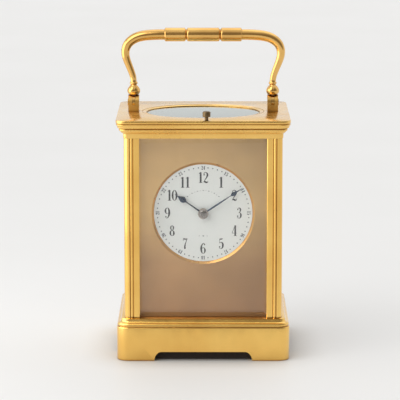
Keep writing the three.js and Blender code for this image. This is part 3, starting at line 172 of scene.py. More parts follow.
def make_lamps():
    soft_sun("key_left", (-0.75, -0.8, 1.0), spread=50, strength=0.92, color=(1.0, 0.985, 0.96))
    soft_box("left_box", (-420, -120, 190), size=(460, 370), power=1.0, color=(1.0, 0.985, 0.95))
    soft_sun("overhead", (0.15, 0.5, 1.0), spread=60, strength=0.35)


def make_floor():
    half = 6.0
    mesh = bpy.data.meshes.new("floor")
    corners = [(-half, -half, 0), (half, -half, 0), (half, half, 0), (-half, half, 0)]
    mesh.from_pydata(corners, [], [(0, 1, 2, 3)])
    floor = bpy.data.objects.new("floor", mesh)
    SCENE.collection.objects.link(floor)
    floor.data.materials.append(MATERIAL["floor"])


# ---- materials ------------
class Shading:
    """A new material, its shader and short ways of adding nodes to it."""

    def __init__(self, name, color, metallic=0.0, roughness=0.5, **sockets):
        self.material = bpy.data.materials.new(name)
        self.material.use_nodes = True
        self.nodes, self.links = self.material.node_tree.nodes, self.material.node_tree.links
        self.shader = self.nodes["Principled BSDF"]
        self.shader.inputs["Base Color"].default_value = (*color, 1)
        self.shader.inputs["Metallic"].default_value = metallic
        self.shader.inputs["Roughness"].default_value = roughness
        for socket, value in sockets.items():
            self.shader.inputs[socket.replace("_", " ")].default_value = value
        self.place = self.nodes.new("ShaderNodeTexCoord").outputs["Object"]

    def add(self, kind, operation=None):
        node = self.nodes.new("ShaderNode" + kind)
        if operation:
            node.operation = operation
        return node

    def feed(self, socket, source):
        self.links.new(source, self.shader.inputs[socket])

    def noise(self, scale, detail=3.0, stretch=(1, 1, 1)):
        """Noise with `scale` features to the metre, squeezed or drawn out by `stretch`."""
        mapping = self.add("Mapping")
        mapping.inputs["Scale"].default_value = stretch
        self.links.new(self.place, mapping.inputs["Vector"])
        texture = self.add("TexNoise")
        texture.inputs["Scale"].default_value = scale
        texture.inputs["Detail"].default_value = detail
        self.links.new(mapping.outputs[0], texture.inputs["Vector"])
        return texture.outputs["Fac"]

    def ramp(self, source, stops):
        """Colours or greys spread over a value; stops are [(position, colour)]."""
        node = self.add("ValToRGB")
        elements = node.color_ramp.elements
        while len(elements) < len(stops):
            elements.new(0.5)
        for element, (position, color) in zip(elements, stops):
            element.position = position
            value = color if isinstance(color, tuple) else (color, color, color)
            element.color = (*value, 1)
        self.links.new(source, node.inputs[0])
        return node.outputs[0]

    def share_between(self, source, low, high):
        """How far a value has come from `low` to `high`, between 0 and 1."""
        node = self.add("MapRange")
        node.inputs["From Min"].default_value = low
        node.inputs["From Max"].default_value = high
        self.links.new(source, node.inputs["Value"])
        return node.outputs["Result"]

    def multiply(self, first, second):
        node = self.add("Mix")
        node.data_type = "RGBA"
        node.blend_type = "MULTIPLY"
        node.inputs["Factor"].default_value = 1.0
        self.links.new(first, node.inputs["A"])
        self.links.new(second, node.inputs["B"])
        return node.outputs["Result"]

    def bump(self, *layers):
        """Bumps stacked on each other; each layer is (height, strength, depth in metres)."""
        normal = None
        for height, strength, depth in layers:
            node = self.add("Bump")
            node.inputs["Strength"].default_value = strength
            node.inputs["Distance"].default_value = depth
            self.links.new(height, node.inputs["Height"])
            if normal is not None:
                self.links.new(normal, node.inputs["Normal"])
            normal = node.outputs["Normal"]
        self.feed("Normal", normal)

    def crevices(self, reach):
        """Ambient occlusion for painting shade: white on open faces and dark in grooves narrower than
        `reach` metres.
        """
        node = self.add("AmbientOcclusion")
        node.samples = 6
        node.inputs["Distance"].default_value = reach
        return node.outputs["AO"]

    def hollow(self, limits):
        """1 where a point's distance from the origin is under its limit on every axis, else 0."""
        apart = self.add("VectorMath", "ABSOLUTE")
        self.links.new(self.place, apart.inputs[0])
        share = self.add("VectorMath", "DIVIDE")
        share.inputs[1].default_value = [limit * MM for limit in limits]
        self.links.new(apart.outputs[0], share.inputs[0])
        split = self.add("SeparateXYZ")
        self.links.new(share.outputs[0], split.inputs[0])
        largest = split.outputs["X"]
        for axis in ("Y", "Z"):
            node = self.add("Math", "MAXIMUM")
            self.links.new(largest, node.inputs[0])
            self.links.new(split.outputs[axis], node.inputs[1])
            largest = node.outputs[0]
        return self.ramp(largest, [(0.99, 1.0), (1.0, 0.0)])


def gilt_material(name, light, dark, roughness, wave=0.1, reach=0.0016, coat=0.45, hollow=None):
    """Polished brass under old lacquer: cloudy colour, hand-polished waves, painted shade in grooves.

    `hollow` is the half size of a block inside which the colour is made almost black, as painted shade
    inside the base.
    """
    look = Shading(name, light, 1.0, roughness, Coat_Weight=coat, Coat_Roughness=0.12)
    clouds = look.ramp(look.noise(32, 5), [(0.36, dark), (0.62, light)])
    # painted shade: ambient occlusion darkens the colour in grooves
    groove_shade = look.ramp(look.crevices(reach), [(0.35, (0.42, 0.3, 0.2)), (0.85, 1.0)])
    color = look.multiply(clouds, groove_shade)
    # painted shade: the colour inside the hollow of the base is nearly black
    if hollow:
        color = look.multiply(color, look.ramp(look.hollow(hollow), [(0.0, 1.0), (1.0, 0.035)]))
    look.feed("Base Color", color)
    smears = look.noise(140, 4, (1, 1, 0.35))
    look.feed("Roughness", look.ramp(smears, [(0.3, roughness * 0.75), (0.75, roughness * 1.45)]))
    look.bump((look.noise(55, 2), wave, 0.0006), (look.noise(2600, 2, (1, 1, 0.2)), 0.05, 0.00004))
    return look.material


def satin_material():
    """Matt gilding with a fine even grain, with painted light and shade: darkest at the foot, brightest a
    little above the middle, and darker to the right.
    """
    look = Shading("satin_gilt", (0.86, 0.56, 0.25), 1.0, 0.42)
    split = look.add("SeparateXYZ")
    look.links.new(look.place, split.inputs[0])
    height = look.share_between(split.outputs["Z"], MASK_LOW.z * MM, MASK.z * MM)
    # painted light and shade from the foot up: dark at the foot, brightest above the middle
    fade = look.ramp(height, [
        (0.0, (0.56, 0.30, 0.13)), (0.3, (0.62, 0.36, 0.165)), (0.6, (0.94, 0.63, 0.28)),
        (1.0, (0.78, 0.51, 0.235)),
    ])
    # painted shade: darker towards the right
    across = look.share_between(split.outputs["X"], -MASK.x * MM, MASK.x * MM)
    fade = look.multiply(fade, look.ramp(across, [(0.3, 1.0), (1.0, 0.74)]))
    clouds = look.ramp(look.noise(38, 4), [(0.3, 0.86), (0.7, 1.05)])
    look.feed("Base Color", look.multiply(fade, clouds))
    grain = look.noise(5200, 3)
    look.feed("Roughness", look.ramp(grain, [(0.3, 0.36), (0.7, 0.52)]))
    look.bump((grain, 0.25, 0.00003))
    return look.material


def enamel_material():
    """White enamel under a clear glaze, very slightly uneven."""
    look = Shading("enamel", (0.89, 0.92, 0.90), 0.0, 0.2, Coat_Weight=1.0, Coat_Roughness=0.04)
    tones = [(0.3, (0.87, 0.905, 0.885)), (0.7, (0.905, 0.93, 0.91))]
    look.feed("Base Color", look.ramp(look.noise(90, 4), tones))
    look.bump((look.noise(160, 2), 0.06, 0.0002))
    return look.material


def paint_material(name, dark, light, roughness=0.38):
    """Fired enamel paint, slightly uneven in strength."""
    look = Shading(name, dark, 0.0, roughness)
    look.feed("Base Color", look.ramp(look.noise(900, 3), [(0.35, dark), (0.75, light)]))
    return look.material


def metal_material(name, light, dark, roughness, stretch=(1, 1, 1), scale=300):
    """A finished metal with a directional grain and a slightly cloudy tone."""
    look = Shading(name, light, 1.0, roughness)
    tone = look.ramp(look.noise(120, 4), [(0.3, dark), (0.7, light)])
    # painted shade: ambient occlusion darkens the colour in grooves
    groove_shade = look.ramp(look.crevices(0.001), [(0.3, 0.45), (0.8, 1.0)])
    look.feed("Base Color", look.multiply(tone, groove_shade))
    grain = look.noise(scale, 4, stretch)
    look.feed("Roughness", look.ramp(grain, [(0.3, roughness * 0.8), (0.7, roughness * 1.35)]))
    look.bump((grain, 0.12, 0.00003))
    return look.material


def glass_material(name, tint, low_tint, sheen=0.0):
    """Clear glass with a breath of unevenness; lamps shine through it.

    `sheen` strengthens its reflection at low angles, as a coated or dusty pane has.
    """
    look = Shading(name, tint, 0.0, 0.0, IOR=1.52, Transmission_Weight=1.0)
    look.feed("Base Color", look.ramp(look.noise(60, 2), [(0.3, low_tint), (0.7, tint)]))
    look.bump((look.noise(25, 1), 0.02, 0.0005))
    surface = look.shader
    if sheen:
        grazing = look.add("LayerWeight")
        grazing.inputs["Blend"].default_value = sheen
        gloss = look.add("BsdfGlossy")
        gloss.inputs["Color"].default_value = (0.92, 0.975, 0.94, 1)
        gloss.inputs["Roughness"].default_value = 0.05
        surface = look.add("MixShader")
        look.links.new(grazing.outputs["Fresnel"], surface.inputs["Fac"])
        look.links.new(look.shader.outputs[0], surface.inputs[1])
        look.links.new(gloss.outputs[0], surface.inputs[2])
    mix = look.add("MixShader")
    look.links.new(look.add("LightPath").outputs["Is Shadow Ray"], mix.inputs["Fac"])
    look.links.new(surface.outputs[0], mix.inputs[1])
    look.links.new(look.add("BsdfTransparent").outputs[0], mix.inputs[2])
    look.links.new(mix.outputs[0], look.nodes["Material Output"].inputs["Surface"])
    return look.material


# painted light: the floor glows though it is no lamp, which lightens its shadows
FLOOR_GLOW = 0.56


def floor_material():
    """A pale sheet that glows a little in the open, so that only the shadow under the base is deep."""
    look = Shading("floor", (0.50, 0.4975, 0.49), 0.0, 0.55, Emission_Strength=FLOOR_GLOW)
    tones = [(0.3, (0.495, 0.493, 0.486)), (0.7, (0.505, 0.503, 0.498))]
    tone = look.ramp(look.noise(6, 3), tones)
    look.feed("Base Color", tone)
    # painted shadow: the glow fades out near the base, by ambient occlusion
    shade = look.ramp(look.crevices(0.022), [(0.35, 0.0), (0.95, 1.0)])
    look.feed("Emission Color", look.multiply(tone, shade))
    return look.material


MATERIAL = {
    "gilt": gilt_material("gilt_brass", (0.96, 0.60, 0.155), (0.86, 0.50, 0.115), 0.17),
    "top_gilt": gilt_material("top_brass", (0.96, 0.61, 0.17), (0.87, 0.52, 0.13), 0.25),
    "base_gilt_painted_shade": gilt_material(
        "base_brass_painted_shade", (0.96, 0.60, 0.155), (0.86, 0.50, 0.115), 0.17,
        hollow=(BASE.x - 2.8, BASE.y - 2.8, 18.6),
    ),
    "handle_gilt": gilt_material("handle_brass", (0.89, 0.53, 0.155), (0.70, 0.39, 0.10), 0.14, 0.008),
    # a rougher satin finish, with darker colour as painted shade that dims the posts' highlights
    "post_gilt": gilt_material(
        "post_brass", (0.74, 0.44, 0.12), (0.58, 0.33, 0.08), 0.36, 0.04, reach=0.0022, coat=0.2,
    ),
    "bevel_gilt": gilt_material("bevel_brass", (0.86, 0.46, 0.13), (0.72, 0.38, 0.10), 0.3, 0.04),
    "satin": satin_material(),
    "enamel": enamel_material(),
    "numeral": paint_material("numeral_paint", (0.010, 0.010, 0.014), (0.03, 0.03, 0.038)),
    "fine_mark": paint_material("fine_mark_paint", (0.03, 0.038, 0.06), (0.07, 0.08, 0.11)),
    "blued": metal_material("blued_steel", (0.055, 0.085, 0.13), (0.03, 0.05, 0.09), 0.28),
    "steel": metal_material("polished_steel", (0.30, 0.275, 0.26), (0.19, 0.175, 0.165), 0.17),
    "cap_steel": metal_material("cap_steel", (0.52, 0.48, 0.45), (0.38, 0.35, 0.33), 0.09),
    # painted shade: the button's brass is darkened to dark brown, as it looks in shadow
    "button": metal_material("button_brass_painted_shade", (0.24, 0.17, 0.09), (0.15, 0.10, 0.05), 0.34),
    "brass": metal_material(
        "movement_brass", (0.83, 0.60, 0.24), (0.72, 0.49, 0.17), 0.3, (1, 1, 0.06), 2400,
    ),
    "silvered": metal_material(
        "platform_silvering", (0.74, 0.72, 0.66), (0.62, 0.59, 0.52), 0.32, (1, 0.05, 1), 2400,
    ),
    "glass": glass_material("clear_glass", (0.998, 1.0, 0.998), (0.988, 0.996, 0.992)),
    "top_glass": glass_material("top_glass", (0.90, 0.985, 0.96), (0.86, 0.965, 0.935), 0.72),
    # painted shade: a near-black sheet standing inside the base
    "shade_sheet": paint_material("shade_sheet", (0.008, 0.003, 0.001), (0.02, 0.009, 0.004), 0.75),
    "floor": floor_material(),
}
SLOT = {
    **dict.fromkeys(
        ["gilt", "top_gilt", "base_gilt_painted_shade", "handle_gilt", "post_gilt", "bevel_gilt"], "gilt_brass",
    ),
    **dict.fromkeys(["button", "brass", "silvered", "shade_sheet"], "movement_brass"),
    **dict.fromkeys(["enamel", "numeral", "fine_mark"], "enamel"),
    **dict.fromkeys(["steel", "cap_steel"], "polished_steel"),
    **dict.fromkeys(["glass", "top_glass"], "glass"),
    "satin": "satin_gilt_brass",
    "blued": "blued_steel",
}


# ---- helpers: meshes ------------
SMOOTH_ANGLE = math.radians(33)


def finish_surface(mesh):
    mesh.polygons.foreach_set("use_smooth", [True] * len(mesh.polygons))
    mesh.set_sharp_from_angle(angle=SMOOTH_ANGLE)
    mesh.update()


def object_from(name, vertices, faces):
    mesh = bpy.data.meshes.new(name)
    mesh.from_pydata([Vector(v) * MM for v in vertices], [], faces)
    work = bmesh.new()
    work.from_mesh(mesh)
    bmesh.ops.recalc_face_normals(work, faces=work.faces)
    work.to_mesh(mesh)
    work.free()
    thing = bpy.data.objects.new(name, mesh)
    SCENE.collection.objects.link(thing)
    return thing


def add_bevel(thing, width, segments, angle):
    modifier = thing.modifiers.new("soft_edges", "BEVEL")
    modifier.width = width * MM
    modifier.segments = segments
    modifier.limit_method = "ANGLE"
    modifier.angle_limit = math.radians(angle)
    return modifier


def piece(name, shape, material, body="case", replaces=(), bevel=0.0):
    """A finished piece: shape is (vertices, faces) in millimetres, or an object already made."""
    thing = object_from(name, *shape) if isinstance(shape, tuple) else shape
    thing.name = thing.data.name = name
    thing.data.materials.clear()
    thing.data.materials.append(MATERIAL[material])
    finish_surface(thing.data)
    if bevel:
        add_bevel(thing, bevel, 2, 40).harden_normals = True
    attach(thing, body)
    if replaces:
        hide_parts(*replaces)
    return thing


def joined(*shapes):
    vertices, faces = [], []
    for shape_vertices, shape_faces in shapes:
        start = len(vertices)
        vertices += [Vector(v) for v in shape_vertices]
        faces += [tuple(i + start for i in face) for face in shape_faces]
    return vertices, faces


def moved(shape, offset=(0, 0, 0), turn=None):
    """A shape turned by a matrix and then shifted."""
    vertices, faces = shape
    matrix = Matrix.Translation(Vector(offset)) @ (turn or Matrix.Identity(4))
    return [matrix @ Vector(v) for v in vertices], faces


def loft(rings, closed=False):
    """Rings of equal length joined by quads, closed at both ends or back on themselves."""
    count = len(rings[0])
    vertices = [Vector(p) for ring in rings for p in ring]
    pairs = list(zip(range(len(rings) - 1), range(1, len(rings))))
    if closed:
        pairs.append((len(rings) - 1, 0))
    faces = [
        (a * count + i, a * count + (i + 1) % count, b * count + (i + 1) % count, b * count + i)
        for a, b in pairs for i in range(count)
    ]
    if not closed:
        last = (len(rings) - 1) * count
        faces += [tuple(reversed(range(count))), tuple(range(last, last + count))]
    return vertices, faces


def round_angles(count):
    """Even angles once round, in radians."""
    return [TURN * i / count for i in range(count)]


def lathe(profile, segments, lobes=None):
    """[(radius, height)] turned about Z; `lobes(angle, height)` may scale the radius."""
    rings = []
    for radius, height in profile:
        ring = []
        for angle in round_angles(segments):
            r = max(radius, 0.001) * (lobes(angle, height) if lobes else 1)
            ring.append((r * math.cos(angle), r * math.sin(angle), height))
        rings.append(ring)
    return loft(rings)


def cuboid(low, high):
    xs, ys, zs = zip(low, high)
    rings = [[(xs[0], ys[0], z), (xs[1], ys[0], z), (xs[1], ys[1], z), (xs[0], ys[1], z)] for z in zs]
    return loft(rings)


def upright(outline, front, back):
    """An outline in X and Z carried from one depth to another."""
    return loft([[(x, y, z) for x, z in outline] for y in (front, back)])


def arc(centre, radius, start, end, steps):
    """Points on an arc, angles in degrees."""
    radii = radius if isinstance(radius, tuple) else (radius, radius)
    points = []
    for i in range(steps + 1):
        angle = math.radians(start + (end - start) * i / steps)
        points.append((centre[0] + radii[0] * math.cos(angle), centre[1] + radii[1] * math.sin(angle)))
    return points


def rounded(half_x, half_y, radius, corner=10, side=1):
    """A rounded rectangle, anticlockwise; `side` splits each straight side."""
    corners = [(1, 1), (-1, 1), (-1, -1), (1, -1)]
    arcs = [
        arc((sx * (half_x - radius), sy * (half_y - radius)), radius, 90 * q, 90 * (q + 1), corner)
        for q, (sx, sy) in enumerate(corners)
    ]
    points = []
    for q, points_here in enumerate(arcs):
        ahead = arcs[(q + 1) % 4][0]
        last = points_here[-1]
        points += points_here
        points += [
            (last[0] + (ahead[0] - last[0]) * k / side, last[1] + (ahead[1] - last[1]) * k / side)
            for k in range(1, side)
        ]
    return points


def smooth_path(points, steps):
    """A smooth curve through points of any dimension."""
    result = []
    for i in range(len(points) - 1):
        p0, p1 = points[max(i - 1, 0)], points[i]
        p2, p3 = points[i + 1], points[min(i + 2, len(points) - 1)]
        for k in range(steps):
            t = k / steps
            result.append(tuple(
                0.5 * (2 * b + (c - a) * t + (2 * a - 5 * b + 4 * c - d) * t * t
                       + (3 * b - a - 3 * c + d) * t ** 3)
                for a, b, c, d in zip(p0, p1, p2, p3)
            ))
    result.append(tuple(points[-1]))
    return result


def carve(thing, *cutters):
    """Cuts shapes out of an object, and returns it with the cut mesh."""
    for number, cutter in enumerate(cutters):
        tool = object_from(f"cutter_{number}", *cutter)
        modifier = thing.modifiers.new("cut", "BOOLEAN")
        modifier.operation = "DIFFERENCE"
        modifier.solver = "EXACT"
        modifier.object = tool
        bpy.context.view_layer.update()
        evaluated = thing.evaluated_get(bpy.context.evaluated_depsgraph_get())
        mesh = bpy.data.meshes.new_from_object(evaluated)
        thing.modifiers.clear()
        thing.data = mesh
        bpy.data.objects.remove(tool)
    return thing


# ---- case ------------
BASE_CORNER = 6.5
CORNICE_CORNER = 5.7
BASE_HOLLOW = {"wall": 3.0, "top": 18.2}
FOOT_LENGTH = 20.7
CUTOUT = {"height": 5.1, "curve": 4.0}
# mouldings as (inset from the widest, height from the moulding's own foot)
BASE_MOULDING = [
    (0.35, 0.0), (0.1, 0.1), (0.0, 0.35), (0.0, 18.2), (0.06, 18.5), (0.25, 18.72),
    (0.75, 18.8), (0.8, 19.0), (0.62, 19.15), (0.44, 19.4), (0.36, 19.75), (0.38, 20.1),
    (0.5, 20.45), (0.72, 20.72), (1.0, 20.8), (1.05, 20.95), (1.35, 21.0), (1.75, 21.15),
    (2.1, 21.5), (2.3, 21.95), (2.36, 22.4), (2.4, 22.95), (2.48, 23.12), (2.65, 23.2),
]
CORNICE_MOULDING = [
    (4.2, 0.0), (4.1, 0.12), (4.05, 0.4), (3.95, 2.4), (3.75, 2.6), (3.7, 2.8), (3.3, 2.95),
    (2.85, 3.25), (2.5, 3.7), (2.3, 4.05), (2.2, 4.1), (1.95, 4.2), (1.75, 4.5), (1.7, 4.85),
    (1.78, 5.2), (2.0, 5.5), (2.1, 5.58), (2.1, 5.7), (1.0, 5.8), (0.85, 5.95), (0.8, 6.5),
    (0.6, 6.9), (0.3, 7.25), (0.12, 7.6), (0.15, 7.9), (0.45, 8.15), (0.5, 8.3), (0.12, 8.42),
    (0.02, 8.55), (0.0, 8.7), (0.0, 9.8), (0.08, 10.0), (0.3, 10.1),
]


def moulding_rings(profile, foot, corner, **rounding):
    return [
        [(x, y, foot + z) for x, y in rounded(
            BASE.x - inset, BASE.y - inset, max(corner - inset * 0.8, 0.8), **rounding,
        )]
        for inset, z in profile
    ]


def foot_cutout(half_length, reach):
    """The arch between two feet, drawn in X and Z and carried through the base along Y."""
    height, curve = CUTOUT["height"], CUTOUT["curve"]
    edge = half_length - curve
    outline = [(-half_length, -2.0)]
    outline += arc((-edge, 0), (curve, height), 180, 90, 14)
    outline += arc((edge, 0), (curve, height), 90, 0, 14)
    outline += [(half_length, -2.0)]
    return upright(outline, -reach, reach)


def make_base():
    wall = BASE_HOLLOW["wall"]
    hollow = rounded(BASE.x - wall, BASE.y - wall, BASE_CORNER - wall)
    inside = [[(x, y, z) for x, y in hollow] for z in (BASE_HOLLOW["top"], 0.25)]
    lip = [(x, y, 0.0) for x, y in rounded(
        BASE.x - wall + 0.25, BASE.y - wall + 0.25, BASE_CORNER - wall + 0.25,
    )]
    rings = [*inside, lip, *moulding_rings(BASE_MOULDING, 0.0, BASE_CORNER)]
    base = object_from("base", *loft(rings))
    carve(
        base,
        foot_cutout(BASE.x - FOOT_LENGTH, BASE.y + 2),
        moved(foot_cutout(BASE.y - FOOT_LENGTH, BASE.x + 2), turn=QUARTER_TURN),
    )
    piece("base_case", base, "base_gilt_painted_shade", replaces=["base_moulding"], bevel=0.12)


def make_base_shade_sheet():
    """A dark band just inside the base, which closes the view between the feet: a near-black sheet put in
    as painted shade inside the base.
    """
    wall = BASE_HOLLOW["wall"]
    outer = rounded(BASE.x - wall - 0.1, BASE.y - wall - 0.1, BASE_CORNER - wall)
    inner = rounded(BASE.x - wall - 0.9, BASE.y - wall - 0.9, BASE_CORNER - wall - 0.8)
    rings = [[(x, y, z) for x, y in plan] for plan, z in (
        (outer, 0.7), (outer, BASE_HOLLOW["top"] - 0.1), (inner, BASE_HOLLOW["top"] - 0.1), (inner, 0.7),
    )]
    piece("base_shade_sheet", loft(rings, closed=True), "shade_sheet")


def pillar_plan():
    """A pillar's plan with its outer corner at the origin and the case towards +X and +Y."""
    side = PILLAR.x - PILLAR_LOW.x
    quarter = 3.0
    face = [(quarter - quarter * math.cos(a), quarter - quarter * math.sin(a)) for a in [
        TURN / 8 * (1 + i / 8) for i in range(9)
    ]]
    face += [(3.02, 0.5), (3.12, 0.6), (3.28, 0.6), (3.36, 0.5)]
    face += [(4.08 - 0.72 * math.cos(TURN / 2 * t), 0.55 - 0.55 * math.sin(TURN / 2 * t)) for t in [
        i / 10 for i in range(1, 10)
    ]]
    face += [(4.82, 0.5), (4.9, 0.62), (5.08, 0.62), (5.16, 0.42), (5.3, 0.3), (side - 0.25, 0.3),
             (side, 0.5)]
    return [(r, a) for a, r in reversed(face[1:])] + face + [(side, side)]


def make_pillars():
    plan = pillar_plan()
    middle = centre_mm("pillar_rear_right").z
    half = (PILLAR.z - PILLAR_LOW.z) / 2
    for end, side_y in (("front", -1), ("rear", 1)):
        for side, side_x in SIDES:
            outline = [(side_x * (PILLAR.x - x), side_y * (PILLAR.y - y)) for x, y in plan]
            rings = [[(x, y, middle + z) for x, y in outline] for z in (-half, 0, half)]
            piece(f"{end}_{side}_pillar", loft(rings), "gilt", replaces=[f"pillar_{end}_{side}"])


OVAL_SIGHT = (31.7, 25.7)
OVAL_OUTER = (34.15, 28.0)
OVAL_ARRIS = 0.12  # rounding where the oval's slope meets the top
OVAL_STEP = 0.34  # depth of the fine groove round the slope
POCKET = {"half_x": 34.4, "half_y": 29, "height": 6.3}  # the room under the oval window
BUTTON_HOLE = 1.2


def oval_ring(like, semi, z):
    """Points on an oval, one towards each point of another ring."""
    points = []
    for x, y, _ in like:
        angle = math.atan2(y / BASE.y, x / BASE.x)
        points.append((semi[0] * math.cos(angle), semi[1] * math.sin(angle), z))
    return points


def make_cornice():
    rings = moulding_rings(CORNICE_MOULDING, CORNICE_LOW.z, CORNICE_CORNER, side=14)
    top = CORNICE.z
    sight = OVAL.z
    low = CORNICE_LOW.z + POCKET["height"]
    outer = rings[-1]
    grown = [semi + OVAL_ARRIS for semi in OVAL_OUTER]
    seat = (OVAL.x + 0.15, OVAL.y + 0.15)
    window = [
        oval_ring(outer, grown, top),
        oval_ring(outer, OVAL_OUTER, top - OVAL_STEP),
        oval_ring(outer, [semi - 0.3 for semi in OVAL_OUTER], top - OVAL_STEP),
        oval_ring(outer, [semi - 0.45 for semi in OVAL_OUTER], top - 0.1),
        oval_ring(outer, [semi + 0.12 for semi in OVAL_SIGHT], sight + 0.43),
        oval_ring(outer, OVAL_SIGHT, sight + 0.33),
        oval_ring(outer, OVAL_SIGHT, sight - 0.26),
        oval_ring(outer, seat, sight - 0.26),
        oval_ring(outer, seat, low),
    ]
    pocket = [
        [(x, y, z) for x, y in rounded(POCKET["half_x"], POCKET["half_y"], 1.0, side=14)]
        for z in (low, CORNICE_LOW.z)
    ]
    shape = loft([*rings, *window, *pocket], closed=True)
    cornice = object_from("cornice_fine", *shape)
    hole = lathe([(BUTTON_HOLE, 0), (BUTTON_HOLE, 12)], 32)
    carve(cornice, moved(hole, (BUTTON_AT.x, BUTTON_AT.y, CORNICE_LOW.z + 5.9)))
    piece("cornice_top", cornice, "top_gilt", replaces=["cornice"])


def make_top_glass():
    slope = 2.6
    levels = [(0, OVAL_LOW.z), (0, OVAL.z - 0.72), (0.12, OVAL.z - 0.66), (slope, OVAL.z - 0.01),
              (slope + 0.3, OVAL.z)]
    rings = [
        [((OVAL.x - inset) * math.cos(a), (OVAL.y - inset) * math.sin(a), z) for a in round_angles(96)]
        for inset, z in levels
    ]
    piece("oval_glass", loft(rings), "top_glass", replaces=["top_glass"])


# ---- handle ------------
# half of the bail as (x, height above the pivot, radius), from inside the grip down to the knuckle
BAIL = [
    (21.0, 37.7, 1.6), (21.35, 37.7, 2.95), (25.0, 37.68, 2.97), (29.0, 37.5, 2.95),
    (33.0, 37.1, 2.92), (36.6, 36.2, 2.85), (39.6, 34.6, 2.75), (41.8, 32.4, 2.6), (43.0, 29.6, 2.42),
    (43.15, 26.6, 2.25), (42.4, 23.5, 2.12), (41.2, 20.3, 2.0), (40.0, 17.2, 1.88),
    (39.1, 14.4, 1.8), (38.75, 12.3, 1.75),
]
KNUCKLE = [
    (0.0, 4.35), (2.2, 4.35), (2.8, 4.5), (3.2, 4.95), (3.45, 5.7), (3.52, 6.5), (3.38, 7.3),
    (2.95, 8.2), (2.35, 9.0), (1.85, 9.5), (1.68, 9.85), (1.95, 10.05), (2.2, 10.4), (2.25, 10.75),
    (2.1, 11.15), (1.8, 11.4), (1.75, 12.0), (1.7, 12.25), (0.0, 12.3),
]
TONGUE = {"radius": 4.1, "half_width": 0.8}
NECK = 1.1  # half the depth of the bar between the tongue and the bulb
GRIP_GROOVES = (-9.4, 9.4)
PIVOT = {"shank": 1.0, "head": 1.9, "head_height": 0.4}


def tube(path, sides):
    """A round bar along a path of (x, z, radius) in the XZ plane."""
    rings = []
    for i, (x, z, radius) in enumerate(path):
        before, after = path[max(i - 1, 0)], path[min(i + 1, len(path) - 1)]
        ahead = Vector((after[0] - before[0], 0, after[1] - before[1])).normalized()
        across = Vector((-ahead.z, 0, ahead.x))
        rings.append([
            Vector((x, 0, z)) + radius * (math.cos(a) * across + math.sin(a) * Vector((0, 1, 0)))
            for a in round_angles(sides)
        ])
    return loft(rings)


def make_bail():
    half = [BAIL[0], *smooth_path(BAIL[1:], 6)]
    path = [(-x, z, r) for x, z, r in reversed(half)] + half
    shape = moved(tube(path, 28), (0, 0, PIVOT_Z))
    piece("bail", shape, "handle_gilt", "handle", ["handle_bail"])


def make_grip():
    radius = (GRIP.z - GRIP_LOW.z) / 2
    half = (GRIP.x - GRIP_LOW.x) / 2
    profile = [(1.75, -half), (radius - 0.75, -half), (radius - 0.3, -half + 0.1),
               (radius, -half + 0.45), (radius, -half + 0.7)]
    for at in GRIP_GROOVES:
        profile += [(radius, at - 1.2), (radius, at - 0.95), (radius - 0.12, at - 0.75),
                    (radius - 0.85, at - 0.12), (radius - 0.85, at + 0.12),
                    (radius - 0.12, at + 0.75), (radius, at + 0.95), (radius, at + 1.2)]
    profile += [(radius, half - 0.7), (radius, half - 0.45), (radius - 0.3, half - 0.1),
                (radius - 0.75, half), (1.75, half)]
    rings = [
        [(x, r * math.cos(a), r * math.sin(a)) for a in round_angles(72)]
        for r, x in profile
    ]
    shape = moved(loft(rings, closed=True), (0, 0, (GRIP.z + GRIP_LOW.z) / 2))
    piece("grip", shape, "handle_gilt", "handle", ["handle_grip"])


def hinge_place(sign):
    """The middle of one post's slot, on the axis that the handle turns about."""
    return (sign * (POST.x + POST_LOW.x) / 2, 0, PIVOT_Z)


def leaf_lobes(angle, height):
    """Carved leaves round the knuckle's bulb, fading out above and below it."""
    strength = max(0.0, 1 - abs(height - 6.9) / 2.9)
    return 1 + 0.075 * strength * (abs(math.cos(3 * angle)) ** 0.6 - 0.55)


def make_knuckles():
    width = TONGUE["half_width"]
    radius = TONGUE["radius"]
    disc = lathe([(0, -width), (radius, -width), (radius, width), (0, width)], 48)
    tongue = moved(disc, turn=ALONG_X)
    neck = cuboid((-width, -NECK, 0.5), (width, NECK, 6))
    bulb = lathe(KNUCKLE, 72, leaf_lobes)
    for side, sign in SIDES:
        shape = moved(joined(bulb, tongue, neck), hinge_place(sign))
        piece(f"{side}_knuckle", shape, "handle_gilt", "handle", [f"handle_knuckle_{side}"])


def make_posts():
    radius = (POST.y - POST_LOW.y) / 2
    half = (POST.x - POST_LOW.x) / 2
    foot = CORNICE.z - PIVOT_Z
    outline = [(-radius, foot), (radius, foot), *arc((0, 0), radius, 0, 180, 28)]
    block = moved(upright(outline, -half, half), turn=QUARTER_TURN)
    gap = TONGUE["half_width"] + 0.1
    room = TONGUE["radius"] + 0.15
    disc = lathe([(0, -gap), (room, -gap), (room, gap), (0, gap)], 64)
    tongue_room = moved(disc, turn=ALONG_X)
    neck_room = cuboid((-gap, -radius - 1, -NECK - 0.15), (gap, radius + 1, radius + 1))
    for side, sign in SIDES:
        place = hinge_place(sign)
        post = object_from("post", *moved(block, place))
        carve(post, moved(tongue_room, place), moved(neck_room, place))
        piece(f"{side}_post", post, "post_gilt", replaces=[f"handle_post_{side}"], bevel=0.22)


